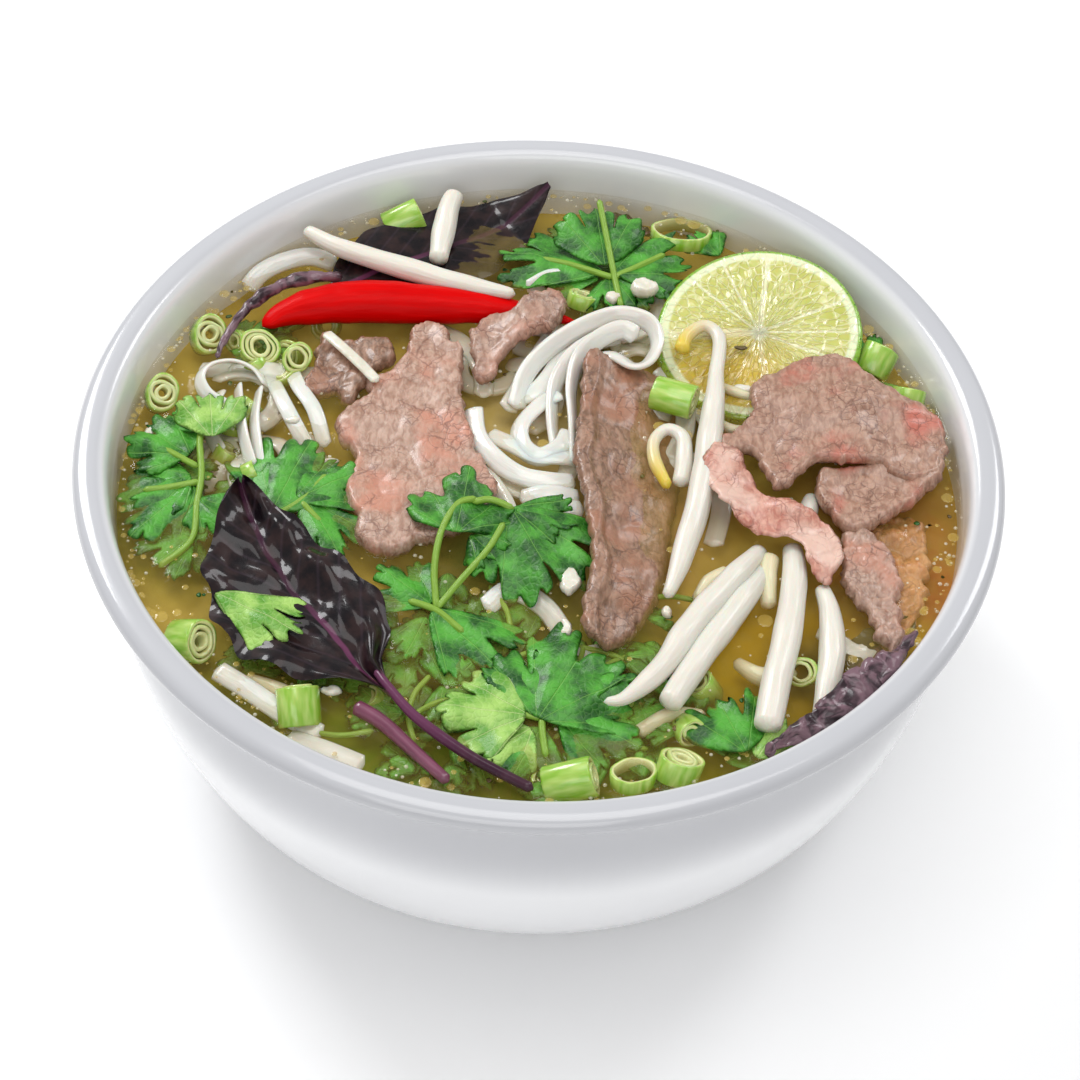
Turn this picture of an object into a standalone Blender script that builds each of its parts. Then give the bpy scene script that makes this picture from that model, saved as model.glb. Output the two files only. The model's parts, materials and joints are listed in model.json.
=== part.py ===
"""Pho noodle soup in a white porcelain bowl, in metres with +Z up.

The origin is the middle of the bowl's foot, on the table, and -Y is the side
that faces whoever eats.  Sizes and places below are in millimetres; MM turns
them into metres where a mesh is made.
"""
import math

import bmesh
import bpy
from mathutils import Vector

MM = 0.001
GAP = 0.3  # room left between pieces that touch

# Driving dimensions of the bowl.
RIM_RADIUS = 100.0
BOWL_HEIGHT = 80.0
WALL = 2.8
LIP_DROP = 8.5  # the lip's flare ends this far under the rim
WALL_RADIUS = 95.0  # outer radius just under the lip
BELLY_RADIUS = 69.9  # outer radius where the side turns into the base
BELLY_HEIGHT = 5.1
FOOT_RADIUS = 56.0
FOOT_WIDTH = 4.5
FOOT_RECESS = 1.8

# Driving dimensions of the food.
SOUP_LEVEL = 69.0
NOODLE_SINK = 7.0  # how far the noodle heaps are modelled under the level
NOODLE_RISE = 6.0
SLICE_SINK = 1.2  # floating slices dip this far under the level
LEAF_THICK = 1.0
SPROUT_RADIUS = 2.6
STALK_RADIUS = 0.9
SCALLION_WALL = 1.3

BOWL_STEPS = 36
TUBE_SIDES = 6
RING_SIDES = 8


# --- Helpers -------------------------------------------------------------

def clear_scene():
    for thing in list(bpy.data.objects):
        bpy.data.objects.remove(thing, do_unlink=True)


def linear(channel):
    """One sRGB channel of 0 to 255 as a linear value."""
    value = channel / 255
    return value / 12.92 if value <= 0.04045 else ((value + 0.055) / 1.055) ** 2.4


def finish(name, srgb, roughness):
    """A Principled material, made once for each finish."""
    material = bpy.data.materials.get(name)
    if material is None:
        material = bpy.data.materials.new(name)
        material.use_nodes = True
        shader = material.node_tree.nodes["Principled BSDF"]
        shader.inputs["Base Color"].default_value = [linear(c) for c in srgb] + [1.0]
        shader.inputs["Roughness"].default_value = roughness
        shader.inputs["Metallic"].default_value = 0.0
    return material


def keep(name, bm, material, smooth=True):
    """Turns a bmesh in millimetres into a named object in metres."""
    bmesh.ops.scale(bm, vec=(MM, MM, MM), verts=bm.verts)
    bmesh.ops.recalc_face_normals(bm, faces=bm.faces)
    mesh = bpy.data.meshes.new(name)
    bm.to_mesh(mesh)
    bm.free()
    if smooth:
        mesh.shade_smooth()
    mesh.materials.append(material)
    thing = bpy.data.objects.new(name, mesh)
    bpy.context.scene.collection.objects.link(thing)
    return thing


def hide_tool(thing):
    """Marks an object as a tool of a Boolean, which isn't a piece itself."""
    thing.hide_render = True
    thing.display_type = "WIRE"


def through(points, steps, closed=False):
    """A smooth line through hand-set points, with steps spans between each two."""
    points = [Vector(p) for p in points]
    count = len(points)
    spans = count if closed else count - 1
    line = []
    for i in range(spans):
        before = points[(i - 1) % count] if closed or i else points[0]
        start = points[i]
        end = points[(i + 1) % count]
        after = points[(i + 2) % count] if closed or i + 2 < count else points[-1]
        for k in range(steps):
            t = k / steps
            line.append(0.5 * (2 * start + (end - before) * t
                               + (2 * before - 5 * start + 4 * end - after) * t ** 2
                               + (3 * start - before - 3 * end + after) * t ** 3))
    if not closed:
        line.append(points[-1])
    return line


def loft(bm, rings):
    """Skins rings of equal count and closes both ends."""
    rows = [[bm.verts.new(p) for p in ring] for ring in rings]
    count = len(rows[0])
    for low, high in zip(rows, rows[1:]):
        for i in range(count):
            j = (i + 1) % count
            bm.faces.new((low[i], low[j], high[j], high[i]))
    bm.faces.new(rows[0][::-1])
    bm.faces.new(rows[-1])


def tube(name, route, radii, material, steps=2, sides=TUBE_SIDES, flat=1.0):
    """A round or flattened tube along a smooth route; radii run from end to end."""
    line = through(route, steps)
    sizes = [r[0] for r in through([(r, 0, 0) for r in radii], 12)]
    across = Vector((0, 0, 1)).cross(line[1] - line[0]).normalized()
    rings = []
    for i, point in enumerate(line):
        ahead = line[min(i + 1, len(line) - 1)] - line[max(i - 1, 0)]
        ahead.normalize()
        across = (across - ahead * across.dot(ahead)).normalized()
        up = ahead.cross(across)
        size = sizes[round(i / (len(line) - 1) * (len(sizes) - 1))]
        angles = [2 * math.pi * k / sides for k in range(sides)]
        rings.append([point + size * (across * math.cos(a) + up * flat * math.sin(a))
                      for a in angles])
    bm = bmesh.new()
    loft(bm, rings)
    return keep(name, bm, material)


def plate(name, outline, bottom, thick, material, slope=(0, 0), wave=0.0, rim=0.7):
    """A flat piece with a chamfered edge, which may lean and wave."""
    bm = bmesh.new()
    middle = sum((Vector(p) for p in outline), Vector((0, 0))) / len(outline)
    bm.faces.new([bm.verts.new((p[0], p[1], 0)) for p in outline])
    bmesh.ops.inset_region(bm, faces=bm.faces, thickness=rim, use_boundary=True,
                           use_even_offset=True)
    bmesh.ops.triangulate(bm, faces=bm.faces)
    upper = bm.verts[:]
    copy = bmesh.ops.duplicate(bm, geom=bm.faces[:] + bm.edges[:] + bm.verts[:])
    lower = [part for part in copy["geom"] if isinstance(part, bmesh.types.BMVert)]
    for side, height in ((upper, thick / 2), (lower, -thick / 2)):
        for vert in side:
            if not vert.is_boundary:
                vert.co.z = height
    bmesh.ops.remove_doubles(bm, verts=bm.verts, dist=1e-4)
    for vert in bm.verts:
        away = vert.co.xy - middle
        swell = wave * math.sin(away.x / 4.5 + 1) * math.cos(away.y / 6.0)
        vert.co.z += bottom + thick / 2 + away.dot(Vector(slope)) + swell
    return keep(name, bm, material)


def turned(name, profile, material):
    """A solid turned about Z from a half profile of (radius, height) points."""
    bm = bmesh.new()
    verts = [bm.verts.new((r, 0, z)) for r, z in profile]
    for a, b in zip(verts, verts[1:]):
        bm.edges.new((a, b))
    thing = keep(name, bm, material)
    screw = thing.modifiers.new("turn", "SCREW")
    screw.steps = screw.render_steps = BOWL_STEPS
    screw.use_merge_vertices = True
    screw.merge_threshold = 0.00001
    screw.use_smooth_shade = True
    return thing


def unite(base, others):
    """Makes one body of pieces that grow together."""
    for other in others:
        hide_tool(other)
        weld = base.modifiers.new("grown_on", "BOOLEAN")
        weld.operation = "UNION"
        weld.solver = "EXACT"
        weld.object = other
    return base


# --- Bowl ----------------------------------------------------------------

def side_radius(height):
    """Outer radius of the bowl's side, a quarter of an upright ellipse."""
    top = BOWL_HEIGHT - LIP_DROP
    drop = min(1.0, (top - height) / (top - BELLY_HEIGHT))
    return BELLY_RADIUS + (WALL_RADIUS - BELLY_RADIUS) * math.sqrt(1 - drop * drop)


def bowl_levels(lowest, highest, count):
    return [lowest + (highest - lowest) * i / (count - 1) for i in range(count)]


def inner_wall(lowest, highest, count):
    """Inner wall from the floor up, one wall's thickness inside the side."""
    levels = bowl_levels(lowest, highest, count)
    return [(side_radius(z - 1.0) - WALL, z) for z in levels]


BOWL_FLOOR = BELLY_HEIGHT + WALL
# The rolled lip from inside to outside: how far in from the rim's radius, how far down.
LIP = [(7.2, 2.6), (6.0, 0.7), (3.8, 0.0), (1.0, 0.5), (0.0, 2.0), (0.7, 3.8), (2.8, 6.2)]


def make_bowl():
    """Porcelain shell with a thick lip that rolls out, and a low foot ring."""
    lip = BOWL_HEIGHT
    profile = [(0, BOWL_FLOOR), (BELLY_RADIUS - 12, BOWL_FLOOR)]
    profile += inner_wall(BOWL_FLOOR + 2.0, SOUP_LEVEL + 1.0, 5)
    profile += [(RIM_RADIUS - inward, lip - down) for inward, down in LIP]
    profile += [(side_radius(z), z) for z in bowl_levels(lip - LIP_DROP, 14.0, 5)]
    profile += [(side_radius(BELLY_HEIGHT + 1.0), BELLY_HEIGHT + 1.0),
                (FOOT_RADIUS + 3, BELLY_HEIGHT - 1.6), (FOOT_RADIUS, 0.6), (FOOT_RADIUS - 0.7, 0),
                (FOOT_RADIUS - FOOT_WIDTH, 0), (FOOT_RADIUS - FOOT_WIDTH - 1, FOOT_RECESS),
                (0, FOOT_RECESS)]
    return turned("bowl", profile, finish("white_porcelain", (222, 224, 230), 0.15))


# --- Broth ---------------------------------------------------------------

def make_broth(toppings):
    """Clear beef broth up to its level, with a well for each thing that dips in."""
    walls = [(r - GAP, z) for r, z in inner_wall(BOWL_FLOOR + 2.0, SOUP_LEVEL, 4)]
    profile = [(0, SOUP_LEVEL)] + walls[::-1]
    profile += [(BELLY_RADIUS - 12, BOWL_FLOOR + GAP), (0, BOWL_FLOOR + GAP)]
    broth = turned("broth", profile, finish("beef_broth", (172, 150, 84), 0.1))
    bpy.context.view_layer.update()
    depsgraph = bpy.context.evaluated_depsgraph_get()
    for topping in toppings:
        mesh = bpy.data.meshes.new_from_object(topping.evaluated_get(depsgraph))
        if min(v.co.z for v in mesh.vertices) > (SOUP_LEVEL + GAP) * MM:
            bpy.data.meshes.remove(mesh)
            continue
        spread = [v.co + v.normal * 1.3 * GAP * MM for v in mesh.vertices]
        for vert, place in zip(mesh.vertices, spread):
            vert.co = place
        well = bpy.data.objects.new("well_" + topping.name, mesh)
        bpy.context.scene.collection.objects.link(well)
        hide_tool(well)
        cut = broth.modifiers.new(well.name, "BOOLEAN")
        cut.operation = "DIFFERENCE"
        cut.solver = "EXACT"
        cut.object = well
    return broth


# --- Noodles -------------------------------------------------------------

def mound(name, outline, material):
    """A heap with an uneven edge and a lumpy top, sunk deep into the broth."""
    edge = [Vector(p) for p in outline]
    middle = sum(edge, Vector((0, 0))) / len(edge)
    low = SOUP_LEVEL - NOODLE_SINK
    shells = [(0.8, low), (1.0, low + 3.0), (1.0, SOUP_LEVEL + 1.0),
              (0.88, SOUP_LEVEL + 3.6), (0.5, SOUP_LEVEL + NOODLE_RISE - 0.9)]
    rings = []
    for scale, height in shells:
        lump = 0.6 if height > SOUP_LEVEL else 0.0
        rings.append([(*(middle + (p - middle) * scale), height + lump * math.sin(2.3 * i))
                      for i, p in enumerate(edge)])
    bm = bmesh.new()
    loft(bm, rings)
    return keep(name, bm, material)


def make_noodles():
    """Flat rice noodles, tangled into a heap in the middle and one at the left."""
    white = finish("rice_noodle", (206, 205, 200), 0.25)
    middle = [(-14, 23), (-9, 25), (4.8, 25), (6, 42), (13, 50), (20, 54), (23, 50), (22, 42),
              (24, 36.5), (13, 37.5), (6, 32), (6, 12), (5.5, -10), (-2, -8), (-6, 2), (-11, 12)]
    left = [(-77, 29), (-70, 30.5), (-63, 27), (-57, 19), (-50, 17), (-48, 12), (-57, 9),
            (-62, 1), (-68, 8), (-76, 19)]
    return [mound("noodles_middle", middle, white), mound("noodles_left", left, white)]


# --- Beef ----------------------------------------------------------------

def make_beef():
    """Thin slices of beef, just cooked, lying where they were laid on the soup."""
    dip = SOUP_LEVEL - SLICE_SINK
    pink = finish("cooked_beef", (190, 156, 143), 0.4)
    slices = {
        "beef_left": (
            [(-31, 34), (-29, 39), (-25, 40), (-21, 37), (-19, 30), (-17, 20), (-14, 6), (-9, -6),
             (-13, -16), (-23, -20.5), (-30, -23), (-35.5, -19.5), (-38, -13), (-40, -6), (-39, 3),
             (-41, 13), (-37, 20), (-38, 24), (-33, 29)], dip, 4.5, (0.02, 0.015)),
        "beef_small": (
            [(-53, 22), (-51, 30), (-50, 37), (-46, 38), (-40, 36.5), (-35, 37.5), (-35, 32),
             (-40.5, 27), (-43, 19), (-47, 22)], dip, 3.4, (0, 0.02)),
        "beef_back": (
            [(-17, 37), (-13, 42), (-8, 44), (-4, 48), (2, 52), (3.5, 45.5), (-1, 38), (-7, 34),
             (-10, 28), (-14, 26), (-16, 32)], 71.7, 3.2, (0, 0)),
        "beef_edge": (
            [(9, 31.5), (14, 32), (19, 30), (22, 20), (22, 5), (20, -10), (20.5, -24), (18, -38),
             (14, -45), (10.5, -42), (12, -26), (10, -10), (8, 2), (8.6, 16)], 69.6, 3.4,
            (-0.28, 0)),
        "beef_right": (
            [(49, 26), (55, 29), (62, 30.5), (68, 28.5), (76, 22), (81, 16), (77, 11), (72, 5),
             (65, 4.5), (59, 3), (53, -3), (49, 3), (45, 8), (38.5, 5), (43, 12), (46, 18)],
            72.6, 2.4, (0, 0)),
        "beef_right_fold": (
            [(83, 15), (87, 10), (87.5, 4), (82, -2), (76, -8), (68, -13), (63, -9), (61.5, -1),
             (66, 2.6), (73, 3.4), (78.5, 10)], 70.6, 4.4, (0.01, 0)),
        "beef_curl": (
            [(38.5, 1), (42.5, 3.5), (46, -2), (50, -8), (56, -10), (61.5, -13.5), (63.5, -20),
             (61, -27), (58, -25), (57, -18), (50, -15.5), (44, -14), (40, -9), (37, -3)],
            72.8, 2.2, (0, 0)),
        "beef_low": (
            [(66, -17), (70, -16), (74, -20), (76, -28), (77, -35), (76, -43), (72, -44),
             (70, -36), (65.5, -28)], dip, 3.6, (0, 0)),
    }
    made = []
    for name, (outline, bottom, thick, slope) in slices.items():
        edge = through(outline, 1, closed=True)
        made.append(plate(name, edge, bottom, thick, pink, slope=slope, wave=0.25))
    return made


# --- Lime and chilli -----------------------------------------------------

LIME_RADIUS = 23.5
LIME_THICK = 5.0
LIME_PLACE = (48.5, 43.5, 70.4)
LIME_LEAN = math.radians(11.0)
LIME_UP = math.radians(60.0)  # the side that stands highest points this way


def make_lime():
    """A round slice of lime whose near edge has sunk under the broth."""
    half = LIME_THICK / 2
    bm = bmesh.new()
    rings = []
    for radius, height in [(LIME_RADIUS - 0.8, -half), (LIME_RADIUS, -half + 0.8),
                           (LIME_RADIUS, half - 0.8), (LIME_RADIUS - 0.8, half)]:
        ring = []
        for i in range(24):
            a = 2 * math.pi * i / 24
            flat = Vector((radius * math.cos(a), radius * math.sin(a), height))
            reach = flat.x * math.cos(LIME_UP) + flat.y * math.sin(LIME_UP)
            flat.z += reach * math.tan(LIME_LEAN)
            ring.append(flat + Vector(LIME_PLACE))
        rings.append(ring)
    loft(bm, rings)
    return keep("lime_slice", bm, finish("lime", (206, 200, 130), 0.25))


def make_chilli():
    """A whole red bird's-eye chilli: blunt at its cap, long and pointed."""
    route = [(-62, 40, 70.3), (-52, 44.5, 70.6), (-35, 46.6, 70.4), (-17, 46.8, 69.8),
             (-4, 46.2, 69.3), (5, 44.8, 69.2)]
    radii = [1.6, 4.1, 4.3, 3.4, 1.9, 0.7]
    return tube("red_chilli", route, radii, finish("red_chilli", (186, 6, 4), 0.18), sides=8)


# --- Purple basil --------------------------------------------------------

def blade(base, tip, width, steps=9):
    """Outline of a pointed oval leaf from its stalk end to its tip."""
    base, tip = Vector(base), Vector(tip)
    along = tip - base
    side = Vector((-along.y, along.x)).normalized()
    ts = [i / steps for i in range(1, steps)]
    swell = {t: width / 2 * math.sin(math.pi * t ** 0.8) ** 0.75 for t in ts}
    one = [base + along * t + side * swell[t] for t in ts]
    other = [base + along * t - side * swell[t] for t in reversed(ts)]
    return [base] + one + [tip] + other


def make_basil():
    """Purple basil: broad dark leaves, one with its long stalk, and a bare stalk."""
    dark = finish("purple_basil", (52, 44, 52), 0.25)
    front = plate("basil_leaf_front", blade((-29, -61), (-62, -9), 33), 71.4, LEAF_THICK, dark,
                  slope=(0.01, 0.0), wave=0.4, rim=0.35)
    stalk = tube("front_stalk", [(-33, -55, 71.9), (-24, -67, 71.6), (-12, -76, 71.6),
                                 (1, -85, 71.9)], [1.3, 1.1], dark)
    back = plate("basil_leaf_back", blade((-48, 56), (-1, 86), 17), 69.5, LEAF_THICK, dark,
                 wave=0.1, rim=0.35)
    left = tube("basil_leaf_left", [(-72, 31, 70.6), (-70, 38, 71.0), (-67, 45, 71.3),
                                    (-61, 50.5, 71.5), (-55, 53, 71.5), (-49, 54, 71.3)],
                [1.0, 1.4, 1.8, 2.2, 2.0, 1.2], dark)
    right = tube("basil_leaf_right", [(50, -70, 71.5), (58, -66, 72), (64.5, -60, 72.4),
                                      (71, -53, 72.4), (76, -46.5, 72)],
                 [1.0, 2.2, 2.6, 1.6, 0.8], dark)
    bare = tube("basil_stalk", [(-35, -66, 69.6), (-29, -70, 69.8), (-22, -77, 70),
                                (-15, -84, 70.4)], [1.5, 1.3], dark)
    return [unite(front, [stalk]), back, left, right, bare]


# --- Coriander -----------------------------------------------------------

def lobed_leaf(base, tip, spread, teeth=4):
    """Outline of a coriander leaflet: a fan of rounded teeth about its stalk end."""
    base, tip = Vector(base), Vector(tip)
    length = (tip - base).length
    heading = math.atan2(tip.y - base.y, tip.x - base.x)
    outline = [base]
    spokes = teeth * 3 + 1
    for i in range(spokes):
        t = i / (spokes - 1)
        turn = (t - 0.5) * math.radians(spread)
        tooth = 0.86 + 0.14 * math.cos(2 * math.pi * (t * teeth - 0.5))
        reach = length * tooth * (0.72 + 0.28 * math.cos(turn * 1.3))
        outline.append(base + reach * Vector((math.cos(heading + turn), math.sin(heading + turn))))
    return outline


def make_coriander():
    """Sprigs of coriander leaf; each sprig is its leaflets grown on one stalk."""
    green = finish("coriander", (42, 128, 44), 0.35)
    lift = SOUP_LEVEL + 1.3 * GAP
    sprigs = {
        "coriander_left": (
            lift + 0.7,
            [((-76, -1), (-90, 7), 150, 0), ((-75, -6), (-89, -16), 150, 0),
             ((-73, -13), (-66.5, -19), 120, 0)],
            [(-75, 9, 1.0), (-73.5, -2, 0.5), (-73, -13, 0.5), (-73, -24, 0.2), (-79, -31, 0.2)]),
        "coriander_pale": (lift + 2.6, [((-71.5, 3), (-80, 13), 90, 0)], None),
        "coriander_upper": (
            lift, [((-56, -17), (-49, 5), 120, 0), ((-50, -9), (-43, -26), 75, 0)],
            [(-57, -18, 0.5), (-51, -12, 0.5), (-47, -6, 0.5)]),
        "coriander_middle": (
            lift + 4.7,
            [((-16, -22), (-13, -6), 150, 0), ((-5, -14), (5, -31), 130, -0.12)],
            [(-14, -14, 0.5), (-11, -12, 0.4), (-5, -14.5, 0.5)]),
        "coriander_lower": (
            lift, [((-20, -41), (-8, -53), 90, 0), ((-21, -39), (-31, -31), 110, 0)],
            [(-24, -38.5, 0.5), (-20, -40.5, 0.5), (-15, -45, 0.5)]),
        "coriander_on_leaf": (lift + 4.4, [((-49, -51), (-65, -40), 150, 0)], None),
        "coriander_back": (
            lift + 0.9,
            [((13, 62), (12, 78), 120, 0.22), ((15, 62), (31, 68), 130, 0),
             ((12, 63), (-8, 67), 70, 0)],
            [(15, 58, 0.5), (13.5, 62, 0.5), (13, 68, 2.0)]),
        "coriander_front": (
            lift, [((2, -68), (13, -49), 150, 0), ((0, -66), (-15, -62), 130, 0),
                   ((6, -66), (20, -73), 110, 0)],
            [(4, -74, 0.6), (3, -67, 0.5), (5, -60, 0.5)]),
        "coriander_low_right": (lift, [((43, -71), (37, -61), 120, 0)], None),
    }
    made = []
    for name, (height, leaflets, stalk) in sprigs.items():
        parts = []
        for i, (base, tip, spread, rise) in enumerate(leaflets):
            along = Vector(tip) - Vector(base)
            label = name if i == 0 else f"{name}_leaflet_{i}"
            parts.append(plate(label, lobed_leaf(base, tip, spread), height + rise * along.length / 2,
                               LEAF_THICK, green, slope=along.normalized() * rise, rim=0.3))
        if stalk:
            route = [(x, y, height + z) for x, y, z in stalk]
            parts.append(tube(name + "_stalk", route, [STALK_RADIUS] * 2, green, steps=1, sides=5))
        made.append(unite(parts[0], parts[1:]))
    return made


# --- Bean sprouts --------------------------------------------------------

def make_sprouts():
    """Mung bean sprouts: plump white stems, some with their yellow head curled."""
    white = finish("bean_sprout", (214, 212, 208), 0.25)
    plump = SPROUT_RADIUS
    routes = {
        "sprout_back_long": (
            [(-56, 67.5, 74.2), (-44, 62.5, 74.0), (-29, 57.5, 73.6), (-17, 54.6, 73.6),
             (-9, 52.6, 73.8)], [1.6, plump, plump, 2.2, 1.2]),
        "sprout_back_short": (
            [(-23, 83, 74.5), (-24.5, 73, 73.6), (-25.5, 63.8, 72.8)], [1.8, plump, plump]),
        "sprout_middle_long": (
            [(31, 30, 73.6), (32, 37, 73.8), (35.5, 41, 73.8), (38, 37, 73.4), (37, 27, 73.2),
             (35.6, 12, 72.8), (34, -4, 72.4), (32, -18, 71.8), (28, -33, 71.6)],
            [1.4, 1.3, 1.4, 2.0, 2.5, plump, plump, 2.4, 1.2]),
        "sprout_curl": (
            [(27.5, -2, 70.4), (25.4, 5, 70.6), (26, 11, 70.8), (29.5, 12, 70.8),
             (31, 7, 70.4), (30.6, 0, 69.6)], [0.9, 1.2, 1.2, 1.3, 1.3]),
        "sprout_pair_left": (
            [(43, -22.5, 70.4), (34, -37, 70.8), (26, -54, 71.2), (19, -61, 72.0)],
            [2.0, plump, plump, 1.1]),
        "sprout_pair_right": (
            [(47.5, -27, 69.6), (39, -43, 70.2), (30, -60, 71.0)], [2.0, plump, 2.3]),
        "sprout_right": (
            [(54, -21, 69.2), (53.3, -38, 70.4), (48.5, -64, 71.0)], [2.0, plump, 2.4]),
        "sprout_right_stub": (
            [(59.5, -3.5, 69.3), (58, -10, 69.2)], [1.6, 2.2]),
        "sprout_far_right": (
            [(60.5, -31, 69.2), (61.4, -42, 69.4), (61, -52, 69.2), (59, -60, 69.0)],
            [1.6, 2.3, 2.4, 1.6]),
    }
    return [tube(name, route, radii, white) for name, (route, radii) in routes.items()]


# --- Scallions -----------------------------------------------------------

def scallion(name, place, heading, lean, radius, length, wall, material):
    """A ring or a short length cut from a scallion, a tube with an open middle."""
    turn, tip = math.radians(heading), math.radians(lean)
    axis = Vector((math.cos(turn) * math.cos(tip), math.sin(turn) * math.cos(tip), math.sin(tip)))
    across = Vector((-math.sin(turn), math.cos(turn), 0))
    up = axis.cross(across)
    corners = [(radius, -length / 2), (radius, length / 2),
               (radius - wall, length / 2), (radius - wall, -length / 2)]
    bm = bmesh.new()
    rows = []
    for i in range(RING_SIDES):
        a = 2 * math.pi * i / RING_SIDES
        spoke = across * math.cos(a) + up * math.sin(a)
        rows.append([bm.verts.new(Vector(place) + spoke * r + axis * h) for r, h in corners])
    for i, row in enumerate(rows):
        ahead = rows[(i + 1) % RING_SIDES]
        for k in range(4):
            j = (k + 1) % 4
            bm.faces.new((row[k], ahead[k], ahead[j], row[j]))
    return keep(name, bm, material)


def make_scallions():
    """Scallion rings and short green lengths afloat between the other toppings."""
    green = finish("scallion", (158, 186, 84), 0.3)
    thick = SCALLION_WALL
    cuts = [
        ("scallion_by_beef", (29.2, 22.5, 71.4), -20, 0, 3.3, 9.0, thick),
        ("scallion_by_chilli", (-64.5, 34.2, 69.6), 95, 55, 3.4, 3.2, thick),
        ("scallion_ring_left", (-56, 31.2, 69.8), 60, 60, 2.7, 2.6, 0.9),
        ("scallion_far_left", (-77, 38, 68.9), 20, 35, 3.2, 5.0, thick),
        ("scallion_left_rim", (-85, 18.5, 69.3), 40, 50, 3.2, 4.0, thick),
        ("scallion_lower_left", (-70, -51, 69.2), 15, 30, 3.4, 7.0, thick),
        ("scallion_below_leaf", (-46, -66.5, 69.2), 60, 30, 3.4, 6.5, thick),
        ("scallion_front_ring", (21.5, -79.5, 69.2), 90, 70, 3.5, 3.0, 0.9),
        ("scallion_front_round", (30.5, -77, 69.2), 20, 55, 3.2, 5.0, thick),
        ("scallion_front_rim", (9, -81.5, 69.2), 5, 20, 3.2, 8.0, thick),
        ("scallion_right_rim", (75.5, 39.5, 69.2), 60, 30, 3.3, 6.0, thick),
        ("scallion_right_low", (82, 27, 69.2), 80, 40, 3.2, 5.0, thick),
        ("scallion_back_ring", (8, 55, 69.2), 60, 60, 3.0, 3.0, thick),
        ("scallion_back_left", (-35, 78.5, 69.6), 20, 20, 3.0, 7.0, thick),
        ("scallion_back_wide", (31, 79, 69.2), 80, 65, 5.0, 3.0, 0.9),
    ]
    return [scallion(*cut, green) for cut in cuts]


clear_scene()
make_bowl()
food = make_noodles() + make_beef() + [make_lime(), make_chilli()]
food += make_basil() + make_coriander() + make_sprouts() + make_scallions()
make_broth(food)
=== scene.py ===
import json
import math
import random

import bpy
import numpy as np
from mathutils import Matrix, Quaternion, Vector, geometry, kdtree, noise

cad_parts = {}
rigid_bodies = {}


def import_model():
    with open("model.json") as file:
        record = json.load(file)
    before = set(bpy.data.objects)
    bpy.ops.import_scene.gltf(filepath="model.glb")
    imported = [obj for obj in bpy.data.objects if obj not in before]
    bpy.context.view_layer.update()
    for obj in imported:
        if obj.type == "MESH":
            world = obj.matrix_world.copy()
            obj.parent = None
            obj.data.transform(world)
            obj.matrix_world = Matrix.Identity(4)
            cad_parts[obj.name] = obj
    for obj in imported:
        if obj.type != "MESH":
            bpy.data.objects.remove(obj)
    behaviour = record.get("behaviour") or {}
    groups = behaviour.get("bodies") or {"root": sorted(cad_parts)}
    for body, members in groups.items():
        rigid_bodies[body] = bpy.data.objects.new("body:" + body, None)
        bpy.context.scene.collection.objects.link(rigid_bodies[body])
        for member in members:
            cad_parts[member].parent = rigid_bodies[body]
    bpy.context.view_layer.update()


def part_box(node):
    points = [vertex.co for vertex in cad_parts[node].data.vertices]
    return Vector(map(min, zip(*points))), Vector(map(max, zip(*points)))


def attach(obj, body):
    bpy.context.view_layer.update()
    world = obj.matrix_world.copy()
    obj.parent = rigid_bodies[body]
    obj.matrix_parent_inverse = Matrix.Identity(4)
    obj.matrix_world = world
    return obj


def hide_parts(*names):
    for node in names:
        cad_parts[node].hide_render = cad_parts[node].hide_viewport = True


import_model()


# --- Bowl ------------------------------------------------------------------
# A deep bowl of white porcelain, thrown thin and glazed all over but for the
# ring it stands on.  Its lip is rolled outwards and left thick, so that it
# doesn't chip and can be held.

MM = 0.001
bowl_low, bowl_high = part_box("bowl")
RIM = (bowl_high.x - bowl_low.x) / 2 / MM
HEIGHT = bowl_high.z / MM
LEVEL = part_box("broth")[1].z / MM
WALL = 2.8
BELLY = (69.9, 5.1)  # radius and height where the side turns into the base
UNDER_LIP = (95.0, HEIGHT - 8.5)
FOOT = 56.0


class Link:
    """The output of a node.  Arithmetic on it adds Math nodes to its finish."""

    def __init__(self, finish, socket):
        self.finish = finish
        self.socket = socket

    def __add__(self, other):
        return self.finish.math("ADD", self, other)

    def __sub__(self, other):
        return self.finish.math("SUBTRACT", self, other)

    def __rsub__(self, other):
        return self.finish.math("SUBTRACT", other, self)

    def __mul__(self, other):
        return self.finish.math("MULTIPLY", self, other)

    def __truediv__(self, other):
        return self.finish.math("DIVIDE", self, other)

    def __pow__(self, other):
        return self.finish.math("POWER", self, other)

    __radd__ = __add__
    __rmul__ = __mul__


def tone(red, green, blue):
    """A colour named by its display values of 0 to 255."""
    parts = [c / 255 for c in (red, green, blue)]
    return [c / 12.92 if c <= 0.04045 else ((c + 0.055) / 1.055) ** 2.4 for c in parts] + [1.0]


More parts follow.
